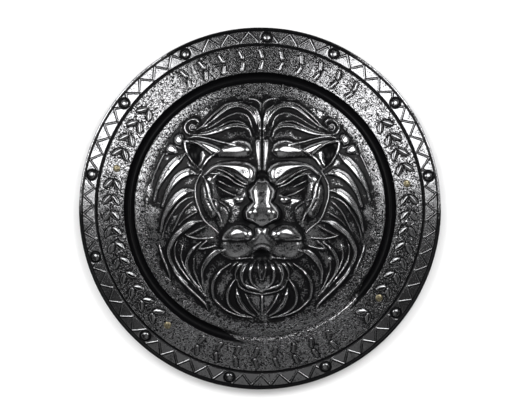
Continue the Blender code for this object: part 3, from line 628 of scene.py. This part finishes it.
def draw_wreath(target):
    """Leaf pairs of both branches, without the leaves that a rivet's head would cover."""
    rivets = [on_ring(RIVET_RADIUS, angle) for angle in RIVET_ANGLES]
    clear = LEAF_LENGTH / 2 + HEAD_RADIUS
    for branch, pairs in LEAF_PAIRS:
        for number in range(pairs):
            climb = BRANCH_FOOT + number * LEAF_STEP
            angle = climb if branch > 0 else pi - climb
            for spread, lean in ((LEAF_SPREAD, pi - LEAF_LEAN), (-LEAF_SPREAD, LEAF_LEAN)):
                spot = on_ring(STEM_RADIUS + spread, angle)
                if all(dist(spot, rivet) > clear for rivet in rivets):
                    stamp(target, spot, angle + branch * lean, LEAF_LENGTH, leaf_form)


def draw_strokes(target):
    """An outer and an inner row of short strokes that lean opposite ways."""
    for start, end in STROKE_ARCS:
        for number in range(int(round((end - start) / STROKE_STEP)) + 1):
            angle = start + number * STROKE_STEP
            for way in (1, -1):
                spot = on_ring(STEM_RADIUS + way * STROKE_SPREAD, angle)
                stamp(target, spot, angle + way * STROKE_LEAN, STROKE_LENGTH, stroke_form)


def zigzag_angle(number):
    """Angle of an inner corner of the zigzag."""
    even = ZIGZAG_START + number * tau / ZIGZAG_COUNT
    angle = even
    for _ in range(5):
        angle = even - ZIGZAG_SWING[0] * cos(angle) - ZIGZAG_SWING[1] * sin(2 * angle)
    return angle


def draw_dots(target):
    """A dot at each inner corner of the zigzag, whose fine lines the coat's own relief draws."""
    for number in range(ZIGZAG_COUNT):
        stamp(target, on_ring(ZIGZAG_LOW, zigzag_angle(number)), 0.0, DOT_RADIUS * 2, dot_form)


def draw_studs(target):
    """Domed studs, each with a ring sunk around it."""
    for angle in STUD_ANGLES:
        spot = np.array(on_ring(STUD_CIRCLE, radians(angle)))
        window = target.window(spot - STUD_CLEAR, spot + STUD_CLEAR)
        away = np.hypot(target.x[window] - spot[0], target.y[window] - spot[1])
        sunk = HALO_DEPTH * smooth(1 - np.abs(away - HALO_RADIUS) / HALO_WIDTH)
        share = np.clip(away / STUD_RADIUS, 0, 1)
        stud = STUD_HEIGHT * np.sqrt(1 - share ** 2) - sunk
        target.values[window] = np.where(away < STUD_CLEAR, stud, target.values[window])


def relief_map(mask):
    """Everything that stands on the turned sheet, and the share of it that is a dark outline."""
    reach = OUTER + MAP_MARGIN
    relief = Map((-reach, -reach), (reach, reach))
    draw_wreath(relief)
    draw_strokes(relief)
    stands = relief.like(smooth(relief.values / FORM_FOOT))
    spread = CREASE_GAIN * stands.blurred(CREASE_REACH).values
    crease = relief.like(np.clip(spread - 3 * stands.values, 0, 1))
    relief.values -= CREASE_DEPTH * crease.values
    draw_dots(relief)
    draw_studs(relief)
    radius = np.hypot(relief.x, relief.y)
    edge = smooth((1 - radius / (MASK_RADIUS + MASK_SPILL)) / MASK_FADE)
    relief.values += mask.read(np.abs(relief.x - MASK_MIDDLE), relief.y) * edge
    return relief, crease


def inner_face(front):
    """The sheet's back: the envelope of balls of the wall's radius that touch the front."""
    low = front.values - WALL
    for share in (0.5, 0.87):
        reach = share * WALL
        drop = WALL * sqrt(1 - share ** 2)
        for turn in range(8):
            rows = int(round(reach * sin(turn * pi / 4) / MAP_PITCH))
            columns = int(round(reach * cos(turn * pi / 4) / MAP_PITCH))
            low = np.minimum(low, np.roll(front.values, (rows, columns), (0, 1)) - drop)
    return front.like(low)


def ring_radii(stops, pitch):
    """Radii from the first stop to the last, evenly spaced between stops."""
    radii = [stops[0]]
    for inner, outer in zip(stops, stops[1:]):
        rows = max(1, int(round((outer - inner) / pitch)))
        radii += [inner + (outer - inner) * (row + 1) / rows for row in range(rows)]
    return radii


def rim_rings():
    """Radius and height of the rings over the bead, down the wall and round the lip."""
    half = BEAD_WIDTH / 2
    rings = []
    for step in range(1, BEAD_STEPS + 1):
        turn = pi * (1 - step / BEAD_STEPS)
        rings.append((OUTER - half + half * cos(turn), RIM_HEIGHT + half * sin(turn)))
    edge = WALL / 2
    inset = LIP_ROUNDING * edge
    rings += [(OUTER, RIM_HEIGHT * share) for share in (0.8, 0.6, 0.4, 0.2)]
    rings += [(OUTER, edge), (OUTER - inset, inset), (OUTER - edge, 0.0)]
    rings += [(OUTER - LIP_WIDTH / 2, 0.0), (OUTER - LIP_WIDTH, 0.0), (OUTER - LIP_WIDTH, WALL)]
    rings += [(OUTER - WALL - edge, WALL), (OUTER - WALL, WALL + edge)]
    rings += [(OUTER - WALL, RIM_HEIGHT * share) for share in (0.4, 0.6, 0.8)]
    rings.append((OUTER - WALL, RIM_HEIGHT - edge))
    return rings


def zipped(first, count, next_first, next_count):
    """Triangles between a ring of vertices and the next one."""
    faces = []
    i = j = 0
    while i < count or j < next_count:
        if j == next_count or (i < count and (i + 1) * next_count <= (j + 1) * count):
            faces.append((first + (i + 1) % count, first + i, next_first + j % next_count))
            i += 1
        else:
            faces.append((first + i % count, next_first + j, next_first + (j + 1) % next_count))
            j += 1
    return [face for face in faces if len(set(face)) == 3]


def skin_rings():
    """Rings from the front's middle to the back's: radius, height unless mapped, count, front or not."""
    stops = (0.0, MASK_RADIUS, GROOVE_INNER, WREATH_INNER, WREATH_OUTER, ZIGZAG_INNER, BEAD_INNER)
    rings = []
    for number, radius in enumerate(ring_radii(stops, RING_PITCH)):
        rings.append((radius, None, max(1, RING_SIDES * number), 1.0))
    rim_count = rings[-1][2]
    rim = rim_rings()
    outside = next(i for i, (radius, height) in enumerate(rim) if height == 0.0)
    rings += [(radius, height, rim_count, float(i <= outside)) for i, (radius, height) in enumerate(rim)]
    inside = ring_radii((0.0, GROOVE_INNER, WREATH_INNER, BEAD_INNER - WALL / 2), BACK_PITCH)
    for number in reversed(range(len(inside))):
        rings.append((inside[number], None, max(1, RING_SIDES * number), 0.0))
    return rings


def skin_mesh(front, back):
    """The sheet's closed skin before it is thinned out: front, rim and back."""
    rings = skin_rings()
    places, shown, faces = [], [], []
    first = 0
    for k, (radius, height, count, side) in enumerate(rings):
        turns = np.arange(count) * tau / count
        x, y = radius * np.cos(turns), radius * np.sin(turns)
        if height is None:
            z = front.read(x, y) if side else back.read(x, y)
        else:
            z = np.full(count, height)
        places.append(np.column_stack([x, y, z]))
        shown.append(np.full(count, side))
        if k + 1 < len(rings):
            faces += zipped(first, count, first + count, rings[k + 1][2])
        first += count
    mesh = bpy.data.meshes.new("skin")
    mesh.from_pydata((np.vstack(places) * MM).tolist(), [], faces)
    set_share(mesh, "front", np.concatenate(shown))
    return mesh


def placed(name, data):
    """A new object in the scene."""
    made = bpy.data.objects.new(name, data)
    bpy.context.scene.collection.objects.link(made)
    return made


def thinned(mesh, triangles):
    """The mesh with about as many triangles as asked for."""
    draft = placed("draft", mesh)
    thin = draft.modifiers.new("thin", "DECIMATE")
    thin.ratio = min(1.0, triangles / len(mesh.polygons))
    bpy.context.view_layer.update()
    made = bpy.data.meshes.new_from_object(draft.evaluated_get(bpy.context.evaluated_depsgraph_get()))
    bpy.data.objects.remove(draft)
    return made


def vertex_places(mesh):
    """Vertex coordinates in millimetres."""
    places = np.empty(len(mesh.vertices) * 3)
    mesh.vertices.foreach_get("co", places)
    return places.reshape(-1, 3) / MM


def set_share(mesh, name, values):
    """Store one value for each vertex, for the material."""
    made = mesh.attributes.new(name, "FLOAT", "POINT")
    made.data.foreach_set("value", np.ascontiguousarray(values, dtype=np.float32))


def set_normals(mesh, front, x, y, side):
    """Give the front the normals of the map, which is finer than the thinned mesh."""
    slope_y, slope_x = np.gradient(front.values, MAP_PITCH)
    leans = [-front.like(slope).read(x, y) for slope in (slope_x, slope_y)]
    normals = np.column_stack([*leans, np.ones_like(x)])
    normals /= np.linalg.norm(normals, axis=1)[:, None]
    inside = (side > 0.5) & (np.hypot(x, y) < BEAD_INNER + SEAM_SLACK)
    normals[~inside] = 0.0
    mesh.shade_smooth()
    mesh.normals_split_custom_set_from_vertices(normals.tolist())


def silver_left(front, crease, x, y):
    """How much silver is left at places on the sheet: most on what stands out."""
    silvered = np.where(np.hypot(front.x, front.y) < MASK_RADIUS, MASK_WEAR, BAND_WEAR)
    for reach, gain in WEAR_SCALES:
        silvered = silvered + gain * (front.values - front.blurred(reach).values)
    left = front.like(np.clip(silvered - crease.values, 0, 1)).read(x, y)
    return np.where(np.hypot(x, y) > BEAD_INNER, BEAD_WEAR, left)


def make_shell():
    """The pressed sheet."""
    relief, crease = relief_map(mask_map())
    front = relief.like(plain_height(np.hypot(relief.x, relief.y)) + relief.values)
    mesh = thinned(skin_mesh(front, inner_face(front)), SKIN_TRIANGLES)
    side = np.empty(len(mesh.vertices))
    mesh.attributes["front"].data.foreach_get("value", side)
    x, y, _ = vertex_places(mesh).T
    set_share(mesh, "silver", silver_left(front, crease, x, y))
    set_share(mesh, "raised", smooth(relief.read(x, y) / RAISED_FULL))
    set_normals(mesh, front, x, y, side)
    mesh.materials.append(silver_coat())
    shell = placed("shield_sheet", mesh)
    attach(shell, "root")
    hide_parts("shell")


class Value:
    """A value in a material's nodes. Sums and products of it make math nodes."""

    def __init__(self, nodes, socket):
        self.nodes = nodes
        self.socket = socket

    def __add__(self, other):
        return self.nodes.math("ADD", self, other)

    def __sub__(self, other):
        return self.nodes.math("SUBTRACT", self, other)

    def __rsub__(self, other):
        return self.nodes.math("SUBTRACT", other, self)

    def __mul__(self, other):
        return self.nodes.math("MULTIPLY", self, other)

    def __abs__(self):
        return self.nodes.math("ABSOLUTE", self)


class Nodes:
    """Shorthand for a material's nodes and links."""

    def __init__(self, name):
        self.material = bpy.data.materials.new(name)
        self.material.use_nodes = True
        self.tree = self.material.node_tree
        self.shader = self.tree.nodes["Principled BSDF"]

    def feed(self, socket, value):
        """Set a socket to a number or a colour, or link it to a value."""
        if isinstance(value, Value):
            self.tree.links.new(value.socket, socket)
        else:
            socket.default_value = value

    def add(self, kind, inputs, output=0, **settings):
        """One result of a new node, whose inputs and settings are given."""
        node = self.tree.nodes.new("ShaderNode" + kind)
        for key, value in settings.items():
            setattr(node, key, value)
        for key, value in inputs.items():
            self.feed(node.inputs[key], value)
        return Value(self, node.outputs[output])

    def math(self, operation, first, second=0.0, clamp=False):
        """The result of a math node."""
        return self.add("Math", {0: first, 1: second}, operation=operation, use_clamp=clamp)

    def vector(self, operation, first, second=(0.0, 0.0, 0.0), output=0):
        """The vector that a vector math node gives, or with output 1 its number."""
        return self.add("VectorMath", {0: first, 1: second}, output, operation=operation)

    def blend(self, factor, first, second):
        """A colour between two others."""
        return self.add("Mix", {0: factor, 6: first, 7: second}, 2, data_type="RGBA")

    def steps(self, value, low, high, start=0.0, end=1.0):
        """A value mapped smoothly from one range to another."""
        inputs = dict(enumerate((value, low, high, start, end)))
        return self.add("MapRange", inputs, interpolation_type="SMOOTHSTEP")

    def where(self, output):
        """Coordinates of the point that is shaded."""
        return self.add("TexCoord", {}, output)

    def part(self, vector, axis):
        """One coordinate of a vector."""
        return self.add("SeparateXYZ", {0: vector}, axis)

    def noise(self, size, detail, distortion=0.0):
        """Noise whose blotches are about as large as the size in metres."""
        inputs = {"Scale": 1 / size, "Detail": detail, "Distortion": distortion}
        return self.add("TexNoise", {"Vector": self.where("Object"), **inputs}, "Fac")

    def share(self, name):
        """A value stored on the mesh."""
        return self.add("Attribute", {}, "Fac", attribute_name=name)

    def bump(self, height, depth, strength=1.0):
        """Normals of a relief whose depth is in metres."""
        return self.add("Bump", {"Strength": strength, "Distance": depth, "Height": height})

    def set(self, **values):
        """Set or link the shader's own sockets."""
        for name, value in values.items():
            self.feed(self.shader.inputs[name.replace("_", " ")], value)


class Face(Nodes):
    """Nodes of a material that is laid out on the shield's face, in millimetres from its middle."""

    def __init__(self, name):
        super().__init__(name)
        self.place = self.vector("MULTIPLY", self.where("Object"), (1 / MM, 1 / MM, 0.0))
        self.radius = self.vector("LENGTH", self.place, output=1)

    def zone(self, inner, outer, edge):
        """One inside a ring and zero outside it, with soft edges."""
        entered, left = [self.steps(self.radius, at - edge, at + edge) for at in (inner, outer)]
        return entered * (1.0 - left)

    def toward(self, angle, half_width):
        """One near an angle around the middle, fading to zero at a half width from it."""
        way = (cos(angle), sin(angle), 0.0)
        along = self.vector("DOT_PRODUCT", self.vector("NORMALIZE", self.place), way, output=1)
        return self.steps(along, cos(half_width), cos(0.5 * half_width))

    def from_zigzag(self):
        """Distance to the zigzag's nearest line."""
        angle = self.math("ARCTAN2", self.part(self.place, "Y"), self.part(self.place, "X"))
        once = self.math("COSINE", angle) * ZIGZAG_SWING[0]
        twice = self.math("SINE", angle * 2.0) * ZIGZAG_SWING[1]
        even = angle + once + (twice - ZIGZAG_START)
        half_turns = self.math("PINGPONG", even * (ZIGZAG_COUNT / tau), 0.5)
        climb = ZIGZAG_HIGH - ZIGZAG_LOW
        line = half_turns * (2 * climb) + ZIGZAG_LOW
        lean = atan2(climb, STUD_CIRCLE * pi / ZIGZAG_COUNT)
        return abs(self.radius - line) * cos(lean)

    def from_stud(self):
        """Distance to the middle of the nearest stud."""
        nearest = DIAMETER
        for angle in STUD_ANGLES:
            x, y = on_ring(STUD_CIRCLE, radians(angle))
            away = self.vector("DISTANCE", self.place, (x, y, 0.0), output=1)
            nearest = self.math("MINIMUM", nearest, away)
        return nearest


def turned_lines(face):
    """Fine lines round the wreath's band, over the end of one branch."""
    wave = face.math("SINE", face.radius * (tau / TURNED_PITCH))
    near = face.zone(*TURNED_RADII, edge=1.5) * face.toward(TURNED_ANGLE, TURNED_REACH)
    return face.steps(wave, *TURNED_WAVE) * near


def groove_parts(face):
    """The groove's black wash, and its floor toward the foot, where the wash gives way to silver as a
    painted highlight of the lit wall.
    """
    groove = face.zone(GROOVE_INNER, WREATH_INNER, GROOVE_EDGE)
    washed = face.radius - face.toward(GROOVE_FOOT, GROOVE_LIT) * GROOVE_WIDTH
    floor = groove * face.steps(washed, GROOVE_INNER + GROOVE_EDGE, GROOVE_INNER - GROOVE_EDGE)
    return groove - floor, floor


def zigzag_parts(face, zigzag, stud):
    """The zigzag's raised lines, its bright dots, and the black wash beside its lines."""
    lined = zigzag * face.steps(stud, STUD_RADIUS, STUD_CLEAR)
    from_line = face.from_zigzag()
    ridge = face.steps(from_line, ZIGZAG_LINE, 0.0) * lined
    from_corner = face.math("MAXIMUM", abs(face.radius - ZIGZAG_LOW), from_line)
    dot = face.steps(from_corner, DOT_RADIUS, DOT_BRIGHT)
    flanks = face.steps(from_line, ZIGZAG_SHADE, ZIGZAG_LINE) * lined
    wash = face.math("SUBTRACT", flanks, ridge + dot, clamp=True) - ridge
    return ridge, dot * lined, wash * ZIGZAG_WASH


def stud_rings(face, stud):
    """The black wash in the ring round each stud."""
    within = face.steps(stud, HALO_RADIUS + HALO_WIDTH, HALO_RADIUS + STUD_EDGE)
    return within * face.steps(stud, STUD_RADIUS - STUD_EDGE, STUD_RADIUS + STUD_EDGE)


def rim_seam_and_painted_shade(face):
    """Painted shade on the bead, black apart from two stretches that keep their silver as painted
    highlights toward the key lights, and the black wash in the seam along it.
    """
    seam = face.zone(BEAD_INNER - 0.9, BEAD_INNER + 0.2, edge=0.3)
    bead = face.zone(BEAD_INNER, OUTER + MAP_MARGIN, edge=0.4)
    # Painted highlight: the bead keeps silver only where it faces a key light.
    silvered = face.math("MAXIMUM", *[face.toward(angle, BEAD_LIT) for angle in BEAD_HIGHLIGHT_ANGLES])
    return seam + bead * (1.0 - silvered)


def coat_colour(face, coat, cloud, bands):
    """Patchy silver, greyer on the bands, over black plastic."""
    silver = face.blend(cloud, SILVER_DULL, SILVER_BRIGHT)
    silver = face.blend(bands * BAND_TARNISH, silver, SILVER_GREY)
    return face.blend(coat, BLACK_PLASTIC, silver)


def silver_coat():
    """Worn silver paint with a black wash in the hollows, on black plastic, and painted light: the bead
    painted dark as painted shade except toward the key lights, and the groove's floor lighter as a painted
    highlight.
    """
    face = Face("antiqued_silver_coat")
    stud = face.from_stud()
    line = face.zone(WREATH_OUTER, ZIGZAG_INNER, edge=0.4)
    wreath = face.zone(WREATH_INNER, WREATH_OUTER, edge=0.8)
    flange = face.zone(MASK_RADIUS, GROOVE_INNER, edge=1.2)
    zigzag = face.zone(ZIGZAG_INNER, BEAD_INNER, edge=0.5)
    bands = wreath + flange + zigzag
    groove, floor = groove_parts(face)
    ridge, dots, wash = zigzag_parts(face, zigzag, stud)
    stipple = (floor + wreath + flange) * (1.0 - face.share("raised")) + zigzag * ZIGZAG_STIPPLE
    grain = face.noise(*GRAIN)
    cloud = face.noise(*CLOUD)
    pits = face.steps(face.noise(*PITS), *PIT_STEPS)
    # Silver on the groove's floor toward the foot is a painted highlight.
    wear_and_painted_light = face.share("silver") + floor * GROOVE_FLOOR_HIGHLIGHT + dots * DOT_WEAR
    wear_and_painted_light += (grain - 0.5) * (bands + GRAIN_WEAR - zigzag * ZIGZAG_SMOOTHNESS)
    wear_and_painted_light += (cloud - 0.5) * CLOUD_WEAR
    wear_and_painted_light -= (1.0 - pits) * (stipple * PIT_WASH) + turned_lines(face) * TURNED_WASH
    # The rim term paints the bead dark as painted shade away from the key lights; the other washes are the
    # hollows' black wash.
    wear_and_painted_light -= groove + line + wash + stud_rings(face, stud) + rim_seam_and_painted_shade(face)
    coat = face.steps(wear_and_painted_light, *COAT_STEPS) * face.steps(face.share("front"), 0.45, 0.55)
    knobs = face.steps(face.noise(*KNOBS), *KNOB_STEPS) * stipple
    knobs *= face.toward(GRAINY_ANGLE, GRAINY_REACH) * GRAINY_GAIN + GRAINY_LEAST
    height = pits * stipple + ridge * RIDGE_BUMP + grain * GRAIN_BUMP + knobs
    face.set(Base_Color=coat_colour(face, coat, cloud, bands), Metallic=face.steps(coat, 0.0, METAL_FULL))
    face.set(Roughness=face.steps(coat, 0.0, 1.0, *COAT_ROUGHNESS), Specular_IOR_Level=COAT_SPECULAR)
    face.set(Normal=face.bump(height, COAT_RELIEF))
    return face.material


def webbing():
    """Black woven webbing."""
    nodes = Nodes("black_woven_webbing")
    where = nodes.where("UV")
    along = nodes.math("SINE", nodes.part(where, "X") * (tau / WEAVE_PITCH[0]))
    across = nodes.math("SINE", nodes.part(where, "Y") * (tau / WEAVE_PITCH[1]))
    weave = along * across
    height = weave * 0.5 + nodes.noise(*FUZZ)
    nodes.set(Base_Color=nodes.blend(nodes.steps(weave, -1.0, 1.0), *WEBBING_TONES), Roughness=0.85)
    nodes.set(Normal=nodes.bump(height, 0.0002, 0.8))
    return nodes.material


def tarnished():
    """Tarnished brass."""
    nodes = Nodes("tarnished_brass")
    cloud = nodes.noise(*TARNISH)
    nodes.set(Base_Color=nodes.blend(nodes.steps(cloud, 0.35, 0.65), *BRASS_TONES), Metallic=0.9)
    nodes.set(Roughness=nodes.steps(cloud, 0.3, 0.7, 0.55, 0.32))
    nodes.set(Normal=nodes.bump(nodes.noise(*SCRATCHES), 0.0001, 0.5))
    return nodes.material


def band_frame(radius, angle):
    """Frame on the sloping bands, in metres: X runs down the slope, Z out of its face."""
    height = RIM_HEIGHT + (BEAD_INNER - radius) * tan(BAND_SLOPE)
    x, y = on_ring(radius, angle)
    turn = Matrix.Rotation(angle, 4, "Z") @ Matrix.Rotation(BAND_SLOPE, 4, "Y")
    return Matrix.Translation(Vector((x, y, height)) * MM) @ turn


def swept(name, corners, size, crease, look):
    """A closed piece from rings of corners in metres that follow each other, with a material."""
    faces = []
    for row in range(len(corners) // size - 1):
        for k in range(size):
            near, far = row * size + k, row * size + (k + 1) % size
            faces.append((near, far, far + size, near + size))
    faces.append(tuple(reversed(range(size))))
    faces.append(tuple(range(len(corners) - size, len(corners))))
    mesh = bpy.data.meshes.new(name)
    mesh.from_pydata(corners, [], faces)
    mesh.shade_smooth()
    mesh.set_sharp_from_angle(angle=crease)
    mesh.materials.append(look)
    return placed(name, mesh)


def rivet_profile():
    """Radius and height pairs down a rivet: domed head, shank, rolled clinch with a cupped end."""
    tail = -(WALL + STRAP_THICKNESS + 2 * FIT_GAP)
    profile = []
    for step in range(9):
        turn = step / 8 * pi / 2
        radius = RIVET_FLAT + RIVET_DOME * HEAD_RADIUS * sin(turn)
        profile.append((radius, FIT_GAP + HEAD_HEIGHT * cos(turn)))
    profile += [(SHANK_RADIUS, FIT_GAP), (SHANK_RADIUS, tail), (CLINCH_RADIUS - CLINCH_LAND, tail)]
    middle = CLINCH_RADIUS - CLINCH_ROLL
    for step in range(5):
        turn = pi / 2 - step / 4 * pi
        height = tail - CLINCH_ROLL + CLINCH_ROLL * sin(turn)
        profile.append((middle + CLINCH_ROLL * cos(turn), height))
    return profile + [(radius, tail - depth) for radius, depth in CLINCH_CUP]


def make_rivets():
    """The four rivets."""
    look = tarnished()
    corners = []
    turns = [step * tau / RIVET_SIDES for step in range(RIVET_SIDES)]
    for radius, height in reversed(rivet_profile()):
        corners += [(radius * cos(turn) * MM, radius * sin(turn) * MM, height * MM) for turn in turns]
    names = ("forearm_top", "forearm_bottom", "grip_top", "grip_bottom")
    for name, angle in zip(names, RIVET_ANGLES):
        rivet = swept(f"finished_rivet_{name}", corners, RIVET_SIDES, RIVET_CREASE, look)
        rivet.matrix_world = band_frame(RIVET_RADIUS, angle)
        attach(rivet, "root")
        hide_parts(f"rivet_{name}")


def strap_line(angles):
    """Places along a strap's upper face, in millimetres, each with its normal and direction."""
    ends = [band_frame(RIVET_RADIUS, angle) for angle in angles]
    seats = [(end @ Vector((0, 0, -(WALL + FIT_GAP) * MM))) / MM for end in ends]
    run = seats[1] - seats[0]
    run.z = 0.0
    span = run.length
    ahead = run.normalized()
    low = STRAP_FLOOR_GAP + STRAP_THICKNESS
    reach = STRAP_FLAT + STRAP_DROP_RUN
    steps = int((STRAP_TAIL + reach) / STRAP_STEP)
    from_seats = [step * STRAP_STEP - STRAP_TAIL for step in range(steps)] + [reach]
    stations = []
    for nearer, from_seat in [(0, s) for s in from_seats] + [(1, s) for s in reversed(from_seats)]:
        travel = span - from_seat if nearer else from_seat
        normal = (ends[nearer].to_3x3() @ Vector((0, 0, 1))).normalized()
        point = seats[0] + ahead * travel
        slope = -(normal.x * ahead.x + normal.y * ahead.y) / normal.z
        height = seats[nearer].z + slope * (travel - span if nearer else travel)
        blend = float(smooth((from_seat - STRAP_FLAT) / STRAP_DROP_RUN))
        point.z = height + (low - height) * blend
        upward = normal.lerp(Vector((0, 0, 1)), blend).normalized()
        stations.append((point, upward, ahead, travel))
    return stations


def strap_section():
    """Outline across a strap: place across it and height over its upper face, in millimetres."""
    half, low = STRAP_WIDTH / 2, -STRAP_THICKNESS
    edge = half - STRAP_ROUND
    turn = half - STRAP_BULGE
    right = [(0.0, -2 * STRAP_DISH), (half / 2, -STRAP_DISH), (edge, 0.0), (turn, -STRAP_ROUND / 2)]
    right += [(half, low / 2), (turn, low + STRAP_ROUND / 2), (edge, low), (0.0, low)]
    return right + [(-across, height) for across, height in reversed(right[1:-1])]


def make_strap(name, angles, look):
    """A webbing strap with rounded edges, swept along its line."""
    section = strap_section()
    corners, weave = [], []
    for point, upward, ahead, travel in strap_line(angles):
        across = upward.cross(ahead).normalized()
        for side, lift in section:
            corners.append(tuple((point + across * side + upward * lift) * MM))
            weave.append((travel * MM, side * MM))
    strap = swept(name, corners, len(section), STRAP_CREASE, look)
    layer = strap.data.uv_layers.new(name="weave")
    for loop in strap.data.loops:
        layer.data[loop.index].uv = weave[loop.vertex_index]
    return strap


def make_straps():
    """Both carrying straps."""
    look = webbing()
    for name, angles in (("forearm_strap", FOREARM_ANGLES), ("grip_strap", GRIP_ANGLES)):
        strap = make_strap(f"woven_{name}", angles, look)
        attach(strap, "root")
        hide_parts(name)


def make_floor():
    """A plain pale floor."""
    bpy.ops.mesh.primitive_plane_add(size=FLOOR_WIDTH, location=(0, 0, cad_box[0][2]))
    floor = bpy.context.object
    floor.name = "floor"
    nodes = Nodes("pale_floor")
    nodes.set(Base_Color=(0.9, 0.9, 0.9, 1), Roughness=0.9)
    floor.data.materials.append(nodes.material)


def make_lights():
    """Soft lights over the upper corners, a weak one below, one for the floor, and a dim surround."""
    for name, (azimuth, tilt, size, radiance) in LIGHTS.items():
        data = bpy.data.lights.new(name, "AREA")
        data.shape = "SQUARE"
        data.size = size
        data.energy = radiance * pi * size ** 2
        light = placed(name, data)
        light.visible_glossy = name != "floor_light"
        place = Matrix.Rotation(azimuth, 4, "Z") @ Matrix.Rotation(tilt, 4, "Y")
        light.matrix_world = place @ Matrix.Translation((0, 0, LIGHT_DISTANCE))
    world = bpy.data.worlds.new("surround")
    world.use_nodes = True
    world.node_tree.nodes["Background"].inputs[0].default_value = (SURROUND, SURROUND, SURROUND, 1)
    bpy.context.scene.world = world


def make_camera():
    """A camera that looks straight down on the shield."""
    data = bpy.data.cameras.new("camera")
    data.lens = CAMERA_LENS
    camera = placed("camera", data)
    camera.location = (0, CAMERA_OFFSET, CAMERA_HEIGHT)
    bpy.context.scene.camera = camera


def main():
    """Dress the frame."""
    bpy.context.scene.view_settings.view_transform = "Standard"
    make_camera()
    make_lights()
    make_floor()
    make_shell()
    make_straps()
    make_rivets()


main()
